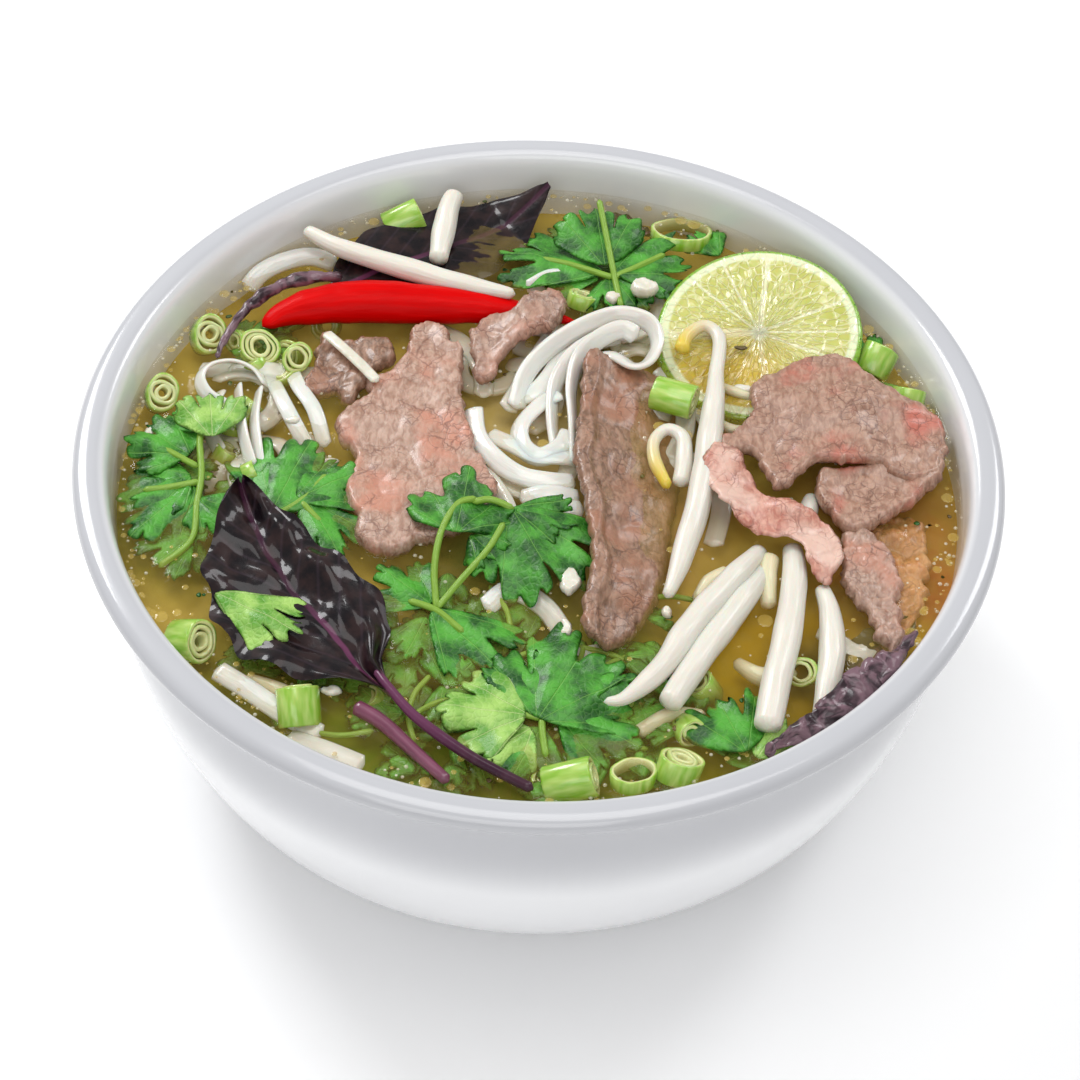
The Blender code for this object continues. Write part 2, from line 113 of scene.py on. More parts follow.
class Finish:
    """A Principled material whose nodes are made by name."""

    def __init__(self, name, **sockets):
        self.material = bpy.data.materials.new(name)
        self.material.use_nodes = True
        self.tree = self.material.node_tree
        self.shader = self.tree.nodes["Principled BSDF"]
        for socket, value in sockets.items():
            self.shader.inputs[socket.replace("_", " ")].default_value = value

    def plug(self, value, socket):
        if isinstance(value, Link):
            self.tree.links.new(value.socket, socket)
        else:
            socket.default_value = value

    def node(self, kind, settings, sockets, out=0):
        made = self.tree.nodes.new(kind)
        for name, value in settings.items():
            setattr(made, name, value)
        for socket, value in sockets.items():
            self.plug(value, made.inputs[socket])
        return Link(self, made.outputs[out])

    def math(self, operation, *values):
        return self.node("ShaderNodeMath", {"operation": operation}, dict(enumerate(values)))

    def step(self, value, low, high):
        """0 below low, 1 above high and smooth between; the other way if low is above high."""
        return self.node("ShaderNodeMapRange", {"interpolation_type": "SMOOTHSTEP"},
                         {"Value": value, "From Min": low, "From Max": high})

    def place(self):
        """Millimetres along, across and up, as each piece's mesh keeps them."""
        return self.node("ShaderNodeAttribute", {"attribute_name": "place"}, {}, out="Vector")

    def marked(self, name):
        """A share that a piece's mesh keeps under a name, such as its cracks."""
        return self.node("ShaderNodeAttribute", {"attribute_name": name}, {}, out="Fac")

    def scaled(self, where, x, y, z):
        return self.node("ShaderNodeVectorMath", {"operation": "MULTIPLY"},
                         {0: where, 1: (x, y, z)})

    def axis(self, where, which):
        return self.node("ShaderNodeSeparateXYZ", {}, {0: where}, out=which)

    def noise(self, where, scale, detail=3.0, warp=0.0):
        return self.node("ShaderNodeTexNoise", {}, {
            "Vector": where, "Scale": scale, "Detail": detail, "Distortion": warp})

    def cells(self, where, scale, feature="DISTANCE_TO_EDGE"):
        return self.node("ShaderNodeTexVoronoi", {"feature": feature},
                         {"Vector": where, "Scale": scale})

    def mix(self, share, first, second):
        settings = {"data_type": "RGBA", "clamp_factor": True}
        return self.node("ShaderNodeMix", settings, {0: share, 6: first, 7: second}, out=2)

    def bump(self, height, depth_mm, strength=1.0):
        return self.node("ShaderNodeBump", {}, {
            "Height": height, "Distance": depth_mm * MM, "Strength": strength})

    def give(self, **sockets):
        for socket, value in sockets.items():
            self.plug(value, self.shader.inputs[socket.replace("_", " ")])


def made_of(name, points, faces, finish, places=None):
    """A new piece from points in millimetres, which rides on the one body."""
    mesh = bpy.data.meshes.new(name)
    points = np.asarray(points, dtype=float)
    mesh.from_pydata((points * MM).tolist(), [], faces)
    mark = mesh.attributes.new("place", "FLOAT_VECTOR", "POINT")
    mark.data.foreach_set("vector", np.asarray(points if places is None else places, float).ravel())
    mesh.shade_smooth()
    mesh.materials.append(finish.material)
    thing = bpy.data.objects.new(name, mesh)
    bpy.context.scene.collection.objects.link(thing)
    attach(thing, "root")
    return thing


def grid_faces(rows, columns, first=0, closed=True):
    """Quads between rows of points; closed joins each row's end to its start."""
    spans = columns if closed else columns - 1
    return [(first + r * columns + c, first + r * columns + (c + 1) % columns,
             first + (r + 1) * columns + (c + 1) % columns, first + (r + 1) * columns + c)
            for r in range(rows - 1) for c in range(spans)]


def turned(name, profile, steps, finish):
    """A solid turned about the bowl's axis, from its inside middle to its underside."""
    angles = [math.tau * i / steps for i in range(steps)]
    rows = [(radius * math.cos(a), radius * math.sin(a), height)
            for radius, height in profile[1:-1] for a in angles]
    count = len(profile) - 2
    faces = grid_faces(count, steps)
    top, bottom = len(rows), len(rows) + 1
    rows += [(0, 0, profile[0][1]), (0, 0, profile[-1][1])]
    last = (count - 1) * steps
    faces += [(top, (i + 1) % steps, i) for i in range(steps)]
    faces += [(bottom, last + i, last + (i + 1) % steps) for i in range(steps)]
    return made_of(name, rows, faces, finish)


def side_radius(height):
    """The side is a quarter of an upright ellipse, from under the lip to the base."""
    drop = min(1.0, max(0.0, (UNDER_LIP[1] - height) / (UNDER_LIP[1] - BELLY[1])))
    return BELLY[0] + (UNDER_LIP[0] - BELLY[0]) * math.sqrt(1 - drop * drop)


def smoothed(points, steps):
    """A smooth open line through given points."""
    points = np.asarray(points, dtype=float)
    padded = np.vstack([2 * points[0] - points[1], points, 2 * points[-1] - points[-2]])
    line = []
    for i in range(len(points) - 1):
        a, b, c, d = padded[i:i + 4]
        for k in range(steps):
            t = k / steps
            line.append(0.5 * (2 * b + (c - a) * t + (2 * a - 5 * b + 4 * c - d) * t * t
                               + (3 * b - a - 3 * c + d) * t ** 3))
    line.append(points[-1])
    return np.array(line)


LIP = [(7.7, 8.5), (7.55, 5.0), (7.2, 2.6), (6.4, 1.0), (5.0, 0.2), (3.4, 0.0), (1.7, 0.25),
       (0.5, 1.0), (0.0, 2.2), (0.6, 3.9), (2.4, 5.8), (4.3, 7.4)]
inside = [(side_radius(z - 1) - WALL, z) for z in np.linspace(BELLY[1] + WALL + 1, LEVEL - 1, 22)]
lip = [(RIM - inward, HEIGHT - down) for inward, down in smoothed(LIP, 5)]
outside = [(side_radius(z), z) for z in np.linspace(UNDER_LIP[1] - 0.7, BELLY[1] + 0.2, 40)]
base = [(64, BELLY[1] - 0.9), (59.5, 3.4), (FOOT + 1, 2.2), (FOOT, 0.7), (FOOT - 0.7, 0),
        (FOOT - 4.5, 0), (FOOT - 5.4, 0.8), (FOOT - 6.5, 1.8), (30, 1.9), (0, 1.9)]

# Where the lip meets the side, the corner is rubbed smooth.
rolled = np.array(lip + outside)
first, last = len(lip) - 4, len(lip) + 5
for _ in range(12):
    before, after = rolled[first - 1:last - 1], rolled[first + 1:last + 1]
    rolled[first:last] = (before + 2 * rolled[first:last] + after) / 4
shell = [(0, BELLY[1] + WALL), (50, BELLY[1] + WALL)] + inside + [tuple(p) for p in rolled] + base

glaze = Finish("white_glaze", Roughness=0.16, Coat_Weight=0.35, Coat_Roughness=0.06, IOR=1.5)
where = glaze.place()
cloud = glaze.noise(where, 0.035, 2.0)
flat = glaze.scaled(where, 1, 1, 0)
from_axis = glaze.node("ShaderNodeVectorMath", {"operation": "LENGTH"}, {0: flat}, out="Value")
within_lip = glaze.step(from_axis, RIM - 5.0, RIM - 7.5)
# The outside is painted a darker grey than the inside: painted shade. Towards the foot it is
# painted darker still: painted shade against the light the table throws up.
shaded_outside = glaze.mix(cloud, tone(182, 183, 188), tone(190, 191, 195))
shaded_outside = glaze.mix(glaze.step(glaze.axis(where, "Z"), 54, 8) * 0.9, shaded_outside, tone(146, 146, 150))
glaze.give(Base_Color=glaze.mix(within_lip, shaded_outside, tone(240, 241, 243)),
           Roughness=0.13 + 0.08 * glaze.noise(where, 0.2),
           Normal=glaze.bump(glaze.noise(where, 0.06, 1.0), 0.25, 0.5))
bowl = turned("bowl_shell", shell, 224, glaze)
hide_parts("bowl")


# --- Depth of the broth ------------------------------------------------------
# Beef broth, cloudy with starch, so that one sees only a few millimetres into
# it.  It is yellow where fat gathers, green over herbs and brown over meat.

MURK = tone(152, 128, 58)
SIGHT = 6.0  # how deep one sees into it
DIMMEST = 0.92  # the share of a sunk thing's colour that the broth's can take
broth_finish = Finish("murky_broth", Roughness=0.5, Specular_IOR_Level=0.1)


def home(node):
    """Middle of a CAD solid, in millimetres."""
    low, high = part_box(node)
    return np.array((low + high) / 2) / MM


def near(finish, where, node, reach, away=(0, 0)):
    """1 at a solid, or beside it, and 0 further from there than reach."""
    middle = home(node)[:2] + away
    gap = finish.node("ShaderNodeVectorMath", {"operation": "DISTANCE"},
                      {0: where, 1: (*middle, LEVEL)}, out="Value")
    return finish.step(gap, reach, reach * 0.25)


where = broth_finish.place()
swirl = broth_finish.noise(where, 0.07, 4.0, 0.8)
colour = broth_finish.mix(swirl, tone(150, 118, 30), tone(204, 176, 80))
for node, reach, shade, *away in [
        ("beef_edge", 36, (176, 134, 78)), ("noodles_middle", 30, (208, 186, 134)),
        ("coriander_middle", 26, (104, 116, 44)), ("scallion_ring_left", 22, (188, 164, 50)),
        ("beef_right_fold", 26, (176, 112, 48)), ("beef_low", 26, (178, 98, 44), (8, 8)),
        ("lime_slice", 30, (196, 160, 10)), ("coriander_left", 32, (104, 110, 8)),
        ("coriander_back", 30, (116, 108, 24)), ("scallion_below_leaf", 40, (108, 120, 2)),
        ("coriander_front", 48, (76, 118, 0)), ("coriander_low_right", 32, (128, 120, 0)),
        ("basil_stalk", 24, (88, 120, 4)), ("sprout_right", 28, (196, 152, 0)),
        ("basil_leaf_right", 13, (196, 158, 14), (18, 20)),
        ("basil_leaf_right", 15, (50, 40, 14), (-4, 12))]:
    zone = near(broth_finish, where, node, reach, *away)
    wisps = broth_finish.step(broth_finish.noise(where, 0.11, 3.0, 1.5), 0.3, 0.62)
    colour = broth_finish.mix(zone * (0.66 + 0.34 * wisps), colour, tone(*shade))
broth_finish.give(Base_Color=colour, Normal=broth_finish.bump(swirl, 1.5, 0.3))


def disc(radius, height, rings, steps):
    """Points of a round sheet, ring by ring, and its faces."""
    radii = radius * np.sqrt(np.linspace(0.0004, 1, rings))
    angles = np.linspace(0, math.tau, steps, endpoint=False)
    points = [(r * math.cos(a), r * math.sin(a), height) for r in radii for a in angles]
    return np.array(points), grid_faces(rings, steps) + [tuple(range(steps - 1, -1, -1))]


def wall_radius(height):
    """Where the broth meets the inside of the wall."""
    return side_radius(height - 1) - WALL


depth_level = LEVEL - SIGHT
points, faces = disc(wall_radius(depth_level) + 0.8, depth_level, 50, 160)
points[:, 2] += [1.3 * noise.noise(Vector(p) * 0.09) for p in points]
depths = made_of("broth_depths", points, faces, broth_finish)
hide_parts("broth")


# --- Rice noodles ------------------------------------------------------------
# Flat fresh rice noodles, 5 mm wide, soft and slippery.  They lie in loops that
# rise out of the broth in the middle and at the left, and sink away all round.


class Pile:
    """Shapes gathered into one mesh."""

    def __init__(self):
        self.points, self.places, self.faces, self.count = [], [], [], 0

    def add(self, points, faces, places=None):
        self.faces += [tuple(i + self.count for i in face) for face in faces]
        self.points.append(points)
        self.places.append(points if places is None else places)
        self.count += len(points)

    def done(self, name, finish, slot):
        return made_of(name, np.vstack(self.points), self.faces, finish,
                       np.vstack(self.places))


def even(line, step):
    """The same line with its points a fixed step apart."""
    run = np.concatenate([[0], np.cumsum(np.linalg.norm(np.diff(line, axis=0), axis=1))])
    count = max(4, int(run[-1] / step) + 1)
    at = np.linspace(0, run[-1], count)
    return np.stack([np.interp(at, run, line[:, k]) for k in range(line.shape[1])], 1), at


def swept(route, wide, tall, sides=10, lean=0.0, box=1.0, step=0.8, blunt=1.0):
    """A rounded bar along a route; wide and tall are its half sizes from end to end."""
    line, run = even(smoothed(route, 8), step)
    share = run / run[-1]

    def spread(values):
        values = np.atleast_1d(np.asarray(values, float))
        stops = np.linspace(0, 1, len(values))
        return np.interp(share, stops, values)

    to_end = np.minimum(run, run[-1] - run)
    close = np.sqrt(1 - (1 - np.clip((to_end + 0.02) / blunt, 0, 1)) ** 2)
    half_wide, half_tall = spread(wide) * close, spread(tall) * close
    ahead = np.gradient(line, axis=0)
    ahead /= np.linalg.norm(ahead, axis=1, keepdims=True)
    across = np.cross((0, 0, 1), ahead)
    across /= np.maximum(np.linalg.norm(across, axis=1, keepdims=True), 1e-6)
    up = np.cross(ahead, across)
    turn = np.radians(spread(lean))[:, None]
    across, up = (across * np.cos(turn) + up * np.sin(turn),
                  up * np.cos(turn) - across * np.sin(turn))
    points, places = [], []
    for k in range(sides):
        a = math.tau * k / sides
        c, s = (math.copysign(abs(f) ** box, f) for f in (math.cos(a), math.sin(a)))
        points.append(line + across * (half_wide * c)[:, None] + up * (half_tall * s)[:, None])
        places.append(np.stack([run, np.full(len(run), c * np.max(half_wide)),
                                np.full(len(run), s * np.max(half_tall))], 1))
    points = np.stack(points, 1).reshape(-1, 3)
    places = np.stack(places, 1).reshape(-1, 3)
    last = len(points) - sides
    caps = [tuple(range(sides - 1, -1, -1)), tuple(range(last, last + sides))]
    return points, grid_faces(len(line), sides) + caps, places


def soaked(finish, colour, sight=SIGHT, murk=MURK):
    """A colour above the broth's level, and more of the broth's the deeper it lies."""
    height = finish.axis(finish.node("ShaderNodeTexCoord", {}, {}, out="Object"), "Z")
    depth = (LEVEL * MM - height) / (sight * MM)
    return finish.mix(finish.math("MINIMUM", finish.math("MAXIMUM", depth, 0.0), DIMMEST),
                      colour, murk)


def streaked(name, stretch, dark, light, **sockets):
    """A finish, streaks drawn out along each piece, and a colour that follows them."""
    made = Finish(name, **sockets)
    streaks = made.noise(made.scaled(made.place(), *stretch), 1.0, 3.0)
    return made, streaks, made.mix(streaks, tone(*dark), tone(*light))


noodle_finish, cloudy, colour = streaked(
    "rice_noodle", (0.12, 0.6, 0.6), (208, 205, 194), (228, 226, 220), Roughness=0.22,
    Coat_Weight=0.6, Coat_Roughness=0.08, Subsurface_Weight=0.25, Subsurface_Scale=0.004)
noodle_finish.give(Base_Color=soaked(noodle_finish, colour, 7.5, tone(196, 174, 124)),
                   Normal=noodle_finish.bump(cloudy, 0.5, 0.5))
NOODLE = (2.3, 0.75)  # half its width and thickness
CLEAR_OF_WALL = 86  # how far from the axis food may lie


def noodle(route, lean, size=NOODLE, blunt=0.8, step=0.8):
    """A flat noodle with rounded edges, leant about its route by degrees."""
    return swept(route, *size, lean=lean, box=0.75, blunt=blunt, step=step)


def heap(name, node, centre, strands, extra, seed, size=NOODLE):
    """Noodles over a sunk core; strands are (lean, route over the level)."""
    shift = home(node)[:2] - np.array(centre)
    pile = Pile()
    for lean, route in strands:
        places = [(x + shift[0], y + shift[1], LEVEL + z) for x, y, z in route]
        pile.add(*noodle(places, lean, size))
    rng = random.Random(seed)
    low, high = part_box(node)
    for _ in range(extra):
        x = rng.uniform(low.x, high.x) / MM
        y = rng.uniform(low.y, high.y) / MM
        heading, bend = rng.uniform(0, math.tau), rng.uniform(-0.12, 0.12)
        z = LEVEL - rng.uniform(1.8, 5.0)
        route = []
        for _ in range(7):
            route.append((x, y, z + rng.uniform(-0.8, 0.8)))
            x += 5 * math.cos(heading)
            y += 5 * math.sin(heading)
            heading += bend * 5
            bend += rng.uniform(-0.05, 0.05)
        inside = [p for p in route if math.hypot(p[0], p[1]) < CLEAR_OF_WALL]
        if len(inside) > 3:
            pile.add(*noodle(inside, rng.uniform(-30, 30), blunt=1.0, step=1.2))
    piece = pile.done(name, noodle_finish, "noodle")
    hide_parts(node)


heap("noodles_in_the_middle", "noodles_middle", (5, 22), [
    ((20, 55, 60, 20), [(-6, 20, -0.6), (-4, 29, 1.6), (1, 36, 3.2), (8, 42, 4.2), (16, 46, 4.6),
                        (23, 44.5, 4.4), (25.3, 39, 4.0), (23.5, 33, 3.4), (20, 31.5, 3),
                        (15.5, 34.5, 3), (12, 35, 1.8)]),
    ((70, 60, 30), [(7.6, 4, -1.5), (7.0, 15, 0.4), (6.2, 25, 1.6), (7.5, 33, 2.6),
                    (11.5, 38.6, 3.4), (17, 42.5, 3.6), (21, 41.5, 2.6)]),
    ((60, 40), [(3.4, 8, -1.6), (2.2, 17, 0.2), (2.6, 26, 1.4), (6, 34, 2.2), (12, 40, 2.4),
                (17, 43.5, 1)]),
    ((10, 30, 10), [(4, 24, 1.0), (0, 21, 0.8), (-4.6, 14, 0.3), (-4, 8, 0.1), (0, 5, 0.2),
                    (4.6, 8.5, 0.2), (6.4, 14, -0.6)]),
    ((15, 30, 10), [(-15.5, 19, 0.2), (-14, 10, 0.3), (-9.5, 3, 0.5), (-4, -1.2, 0.5),
                    (2, -2.2, 0.4), (8, -1.4, -0.6)]),
    (0, [(-12, 12, -0.8), (-6, 8.5, -0.3), (-1, 5.5, -0.2), (3, 5.5, 0), (8, 6, -0.8)]),
    (10, [(-4, -6.5, -1.2), (1, -5.8, 0.2), (5, -6, 0.3), (9, -6, -0.8)]),
    (10, [(2, -13, -1.6), (5.6, -10, -0.2), (10, -9, -0.8)]),
    (5, [(-8, 24, -1.4), (-3, 24, -0.2), (1, 29, 0.4), (6, 40, 1.0), (13, 47, 1.2),
         (20, 49.5, 0.2)])], 16, 5)
heap("noodles_at_the_left", "noodles_left", (-62.5, 15.75), [
    ((60, 45, 45, 40), [(-62, 23, -0.6), (-65, 27, 0.6), (-70, 29, 1.2), (-75, 27.5, 1.2),
                        (-77, 23.5, 0.9), (-75, 19, 0.2), (-71, 16.5, -0.4), (-67, 16, -1.4)]),
    ((60, 50), [(-68.5, 23, -0.6), (-67, 14, 0.8), (-65, 5, 1.2), (-62.5, -2, -0.2)]),
    ((60, 40), [(-63.5, 22, 0), (-63.5, 12, 0.8), (-62, 3, 0.4), (-61, -2, -0.6)]),
    ((20, 0, 20), [(-57, 29, -1.5), (-54.5, 22, 0.9), (-50.5, 15, 1.1), (-47.5, 7, -2.2)]),
    ((0, 20), [(-61, 26, -1.8), (-58.4, 19, 0.5), (-55.5, 13, 0.6), (-51, 6, -2.4)]),
    (40, [(-72, 22, -1.2), (-74, 12, -1.2), (-70, 3, -1.6)])], 8, 9, (1.8, 0.5))

# A few noodles lie alone, at the back left, the left and the front left.
pile = Pile()
for lean, route in [
        (30, [(-70, 55, -1.5), (-67, 59, 0.2), (-62, 63, 0.4), (-56, 65.5, 0), (-50, 65, -1.5)]),
        (10, [(-64, -57, -1.0), (-57, -62, -0.4), (-50, -67, -0.5), (-41, -72, -1.6)]),
        (10, [(-48, -73, -1.6), (-40, -76, -1.1), (-32, -79, -1.6)]),
        (20, [(-10, -38, -0.5), (-5, -33, -0.2), (2, -36, -1.0), (7, -43, -2)]),
        (10, [(2, -45, -2), (8, -49, -1.4), (15, -47, -2.2)]),
        (60, [(-5, 58, -0.3), (1, 62, 0.2), (8, 61, -1)]),
        (10, [(38, 8, -2.6), (40, -4, -2.4), (38, -16, -2.8)]),
        (10, [(60, -38, -1.6), (67, -44, -2), (72, -42, -2.6)]),
        (0, [(26, 36, -1.6), (31, 28, -1.4), (32, 18, -2.0), (29, 8, -2.6)]),
        (30, [(-14, 4, -2.4), (-8, -6, -1.6), (-4, -16, -2.0), (2, -22, -3)]),
        (20, [(-8, 20, -1.4), (-4, 30, -0.8), (0, 40, -0.6), (4, 48, -1.6)]),
        (15, [(-46, 4, -2.4), (-48, -8, -2.0), (-44, -20, -2.6)])]:
    pile.add(*noodle([(x, y, LEVEL + z) for x, y, z in route], lean))
pile.done("loose_noodles", noodle_finish, "noodle")


# --- Beef ----------------------------------------------------------------
# Slices cut across the grain from a lean piece and cooked by the hot broth, so
# they are firm and greyish pink.  Rounded bundles of fibres part in cracks, and
# the edges are scalloped where bundles have come away.


def closed_line(outline, step):
    """A smooth closed line through an outline, with points a step apart."""
    loop = np.asarray(list(outline) + [outline[0]], float)
    padded = np.vstack([loop[-3:-1], loop, loop[1:3]])
    fine = 8
    line = smoothed(padded, fine)[2 * fine:-2 * fine]
    return even(line, step)[0][:-1]


def within(points, edge):
    """Which points lie inside a closed line."""
    x, y = points[:, :1], points[:, 1:2]
    ax, ay = edge[:, 0], edge[:, 1]
    bx, by = np.roll(ax, -1), np.roll(ay, -1)
    crosses = ((ay > y) != (by > y)) & (x < (bx - ax) * (y - ay) / (by - ay + 1e-12) + ax)
    return crosses.sum(1) % 2 == 1


def edge_distance(points, edge):
    """How far each point is from the nearest stretch of a closed line."""
    ends = np.roll(edge, -1, axis=0)
    span = ends - edge
    best = np.full(len(points), 1e9)
    for a, d in zip(edge, span):
        t = np.clip(((points - a) @ d) / (d @ d + 1e-12), 0, 1)
        best = np.minimum(best, np.linalg.norm(points - a - t[:, None] * d, axis=1))
    return best


def rolling(points, scale, seed):
    """Smooth noise between about -1 and 1 at each point."""
    return np.array([noise.noise(Vector((p[0] * scale, p[1] * scale, seed))) for p in points])


FRINGE = 0.35  # how closely the teeth of a ragged edge follow one another


def sheet(outline, step, ragged, seed):
    """Triangles that fill an outline: points, their distance from the edge, faces."""
    edge = closed_line(outline, step)
    if ragged:
        out = np.gradient(edge, axis=0)
        out = np.stack([out[:, 1], -out[:, 0]], 1)
        out /= np.linalg.norm(out, axis=1, keepdims=True)
        push = rolling(edge, FRINGE, seed) + 0.45 * rolling(edge, FRINGE * 3, seed + 9)
        edge = edge + out * (ragged * push)[:, None]
    low, high = edge.min(0), edge.max(0)
    xs = np.arange(low[0], high[0], step)
    ys = np.arange(low[1], high[1], step * 0.87)
    grid = np.array([(x + (step / 2 if j % 2 else 0), y) for j, y in enumerate(ys) for x in xs])
    grid = grid[within(grid, edge)]
    gap = edge_distance(grid, edge)
    grid, gap = grid[gap > step * 0.5], gap[gap > step * 0.5]
    points = np.vstack([edge, grid])
    gaps = np.concatenate([np.zeros(len(edge)), gap])
    n = len(edge)
    spots, _, triangles, sources, *_ = geometry.delaunay_2d_cdt(
        [Vector(p) for p in points], [(i, (i + 1) % n) for i in range(n)], [], 1, 1e-6)
    kept = [ids[0] if ids else 0 for ids in sources]
    middles = np.array([np.mean([spots[i] for i in face], axis=0) for face in triangles])
    inside = within(middles, edge)
    faces = [tuple(face) for face, good in zip(triangles, inside) if good]
    return np.array([tuple(v) for v in spots]), gaps[kept], faces


def slab(outline, low, thick, step=0.8, rim=1.2, ragged=0.0, relief=None, lift=None, seed=0):
    """A flat piece with a rounded edge; relief is on its top, lift bends the whole."""
    flat, gap, faces = sheet(outline, step, ragged, seed)
    swell = np.sqrt(1 - (1 - np.clip(gap / rim, 0, 1)) ** 2) * thick / 2
    middle = low + thick / 2 + (lift(flat) if lift else 0)
    top = middle + swell + (relief(flat, gap) if relief else 0) * (gap > 0)
    inner = gap > 0
    under = np.cumsum(inner) - 1 + len(flat)
    points = np.vstack([np.column_stack([flat, top]),
                        np.column_stack([flat, middle - swell])[inner]])
    turn = np.where(inner, under, np.arange(len(flat)))
    faces = faces + [tuple(turn[i] for i in reversed(face)) for face in faces]
    return points, [tuple(int(i) for i in face) for face in faces]


def bundles(points, size, heading, seed):
    """Cells drawn out along a heading: 0 in the crack between two, about 1 on a cell."""
    table = np.random.default_rng(seed).random((64, 64, 2))
    a = math.radians(heading)
    u = (points[:, 0] * math.cos(a) + points[:, 1] * math.sin(a)) / size[0]
    v = (points[:, 1] * math.cos(a) - points[:, 0] * math.sin(a)) / size[1]
    here = np.stack([u, v], 1)
    first = np.full(len(here), 9.0)
    second = np.full(len(here), 9.0)
    for i in (-1, 0, 1):
        for j in (-1, 0, 1):
            cell = np.floor(here).astype(int) + (i, j)
            spot = cell + 0.15 + 0.7 * table[cell[:, 0] % 64, cell[:, 1] % 64]
            gap = np.linalg.norm(spot - here, axis=1)
            second = np.where(gap < first, first, np.minimum(second, gap))
            first = np.minimum(first, gap)
    return 1 - np.exp(-(second - first) / 0.16)


def keep(piece, name, shares):
    """Keeps a share for each point of a piece, which its finish reads by name."""
    mark = piece.data.attributes.new(name, "FLOAT", "POINT")
    mark.data.foreach_set("value", shares)


def meat(name, pale, dark, blush, blush_at=0.58):
    """Cooked meat: bundles parted by cracks with painted shade in them, patches of blush, a wet
    sheen.
    """
    made = Finish(name, Roughness=0.4, Coat_Weight=0.36, Coat_Roughness=0.18,
                  Subsurface_Weight=0.12, Subsurface_Scale=0.002)
    where = made.place()
    cracks = made.marked("crack")
    fibres = made.noise(made.scaled(where, 0.9, 0.45, 0.7), 1.0, 5.0, 0.6)
    bent = made.node("ShaderNodeVectorMath", {"operation": "MULTIPLY_ADD"}, {
        0: made.node("ShaderNodeTexNoise", {}, {"Vector": where, "Scale": 0.35, "Detail": 2.0},
                     out="Color"), 1: (3.2, 3.2, 0.0), 2: where})
    coarse = made.cells(made.scaled(bent, 0.2, 0.12, 0.1), 1.0)
    fine = made.cells(made.scaled(bent, 0.32, 0.5, 0.1), 1.0)
    patches = made.noise(where, 0.09, 3.0)
    colour = made.mix(made.step(fibres, 0.3, 0.7), tone(*dark), tone(*pale))
    colour = made.mix(made.step(patches, blush_at - 0.12, blush_at + 0.12) * 0.85, colour,
                      tone(*blush))
    in_crack = made.step(cracks, 0.5, 0.0)
    parted = made.step(made.noise(where, 0.16, 2.0), 0.4, 0.6)
    hair = made.math("MAXIMUM", made.step(coarse, 0.04, 0.0) * (0.06 + 0.6 * parted),
                     made.step(fine, 0.05, 0.0) * 0.6 * parted)
    # Cracks and hairlines between bundles get a painted shade.
    crack_shade = tone(dark[0] * 0.66, dark[1] * 0.52, dark[2] * 0.46)
    colour = made.mix(made.math("MAXIMUM", in_crack * 0.2, hair), colour, crack_shade)
    relief = (made.math("MINIMUM", fine, 0.1) * 3.0 * parted + fibres * 0.6
              + made.math("MINIMUM", coarse, 0.12) * 2.4)
    made.give(Base_Color=soaked(made, colour, 5.0, tone(162, 118, 70)),
              Roughness=0.3 + 0.3 * fibres, Normal=made.bump(relief, 0.36, 0.6))
    return made


def beef(name, node, outline, thick, finish, size=(6.5, 3.6), heading=70, low=None, lift=None,
         relief=0.35, seed=1, ragged=1.1, rim=1.1, middle=None):
    """One slice, seated where its CAD solid is; middle is that solid's in the outline's terms."""
    centre = home(node)[:2]
    edge = np.asarray(outline, float)
    edge += centre - ((edge.min(0) + edge.max(0)) / 2 if middle is None else middle)
    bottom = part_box(node)[0].z / MM if low is None else LEVEL + low

    def cracks(flat):
        bent = 0.7 * np.stack([rolling(flat, 0.2, seed), rolling(flat, 0.2, 7)], 1)
        return bundles(flat + bent, size, heading, seed)

    def height(flat, gap):
        return (relief * (cracks(flat) - 0.75) * np.clip(gap / 1.5, 0, 1)
                + rolling(flat, 0.13, seed) * np.clip(gap / 3, 0, 1))

    points, faces = slab(edge, bottom, thick, 0.7, rim, ragged, height,
                         (lambda flat: lift(flat - centre)) if lift else None, seed)
    piece = made_of(name, points, faces, finish)
    keep(piece, "crack", cracks(points[:, :2]))
    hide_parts(node)


pink = meat("pink_beef", (190, 158, 140), (152, 114, 94), (196, 132, 108))
grey = meat("grey_beef", (184, 152, 134), (140, 106, 88), (184, 130, 108))
brown = meat("brown_beef", (164, 128, 106), (114, 82, 60), (160, 110, 84))
rosy = meat("rosy_beef", (180, 144, 124), (142, 104, 84), (190, 98, 80), 0.62)

beef("beef_slice_left", "beef_left",
     [(-31, 34), (-30, 41), (-27, 43), (-22.5, 42), (-20.5, 37), (-19, 36.5), (-18, 30),
      (-17, 18), (-14, 6), (-8.5, -6), (-12, -15), (-17, -19.5), (-24, -22), (-30, -25.5),
      (-36.5, -23), (-39, -14), (-41.5, -8), (-40, 2), (-45, 10), (-44, 15), (-38.5, 20),
      (-39.5, 25), (-34.5, 28)], 4.3, pink, (11, 7), 65, seed=3, middle=(-24.5, 8.6), rim=0.8,
     lift=lambda p: 0.05 * p[:, 0] + 1.2 * np.exp(-((p[:, 1] - 28) / 8) ** 2)
     + 0.5 * np.sin(p[:, 1] / 5.5) + 0.4)
beef("beef_slice_small", "beef_small",
     [(-54, 22), (-52, 30), (-52, 36), (-50, 41), (-46, 38.5), (-40, 39), (-35, 38.5), (-34, 33),
      (-39, 28), (-42, 19), (-47, 23)], 3.6, brown, (7, 4.5), 20, seed=5, relief=0.6,
     lift=lambda p: 0.8 * np.sin(p[:, 0] / 3.0) + 0.05 * p[:, 1])
beef("beef_slice_back", "beef_back",
     [(-17, 37), (-15, 43), (-11, 45), (-8, 44.5), (-5, 49), (0, 52), (3.5, 53), (4, 46),
      (0, 40), (-5, 36), (-9, 32), (-11, 27), (-15, 25), (-16, 31)], 3.6, grey, (7, 4.5), 50,
     relief=0.6, seed=7, lift=lambda p: 1.5 * np.sin(p[:, 0] / 2.6 + 0.8) + 0.08 * p[:, 1])


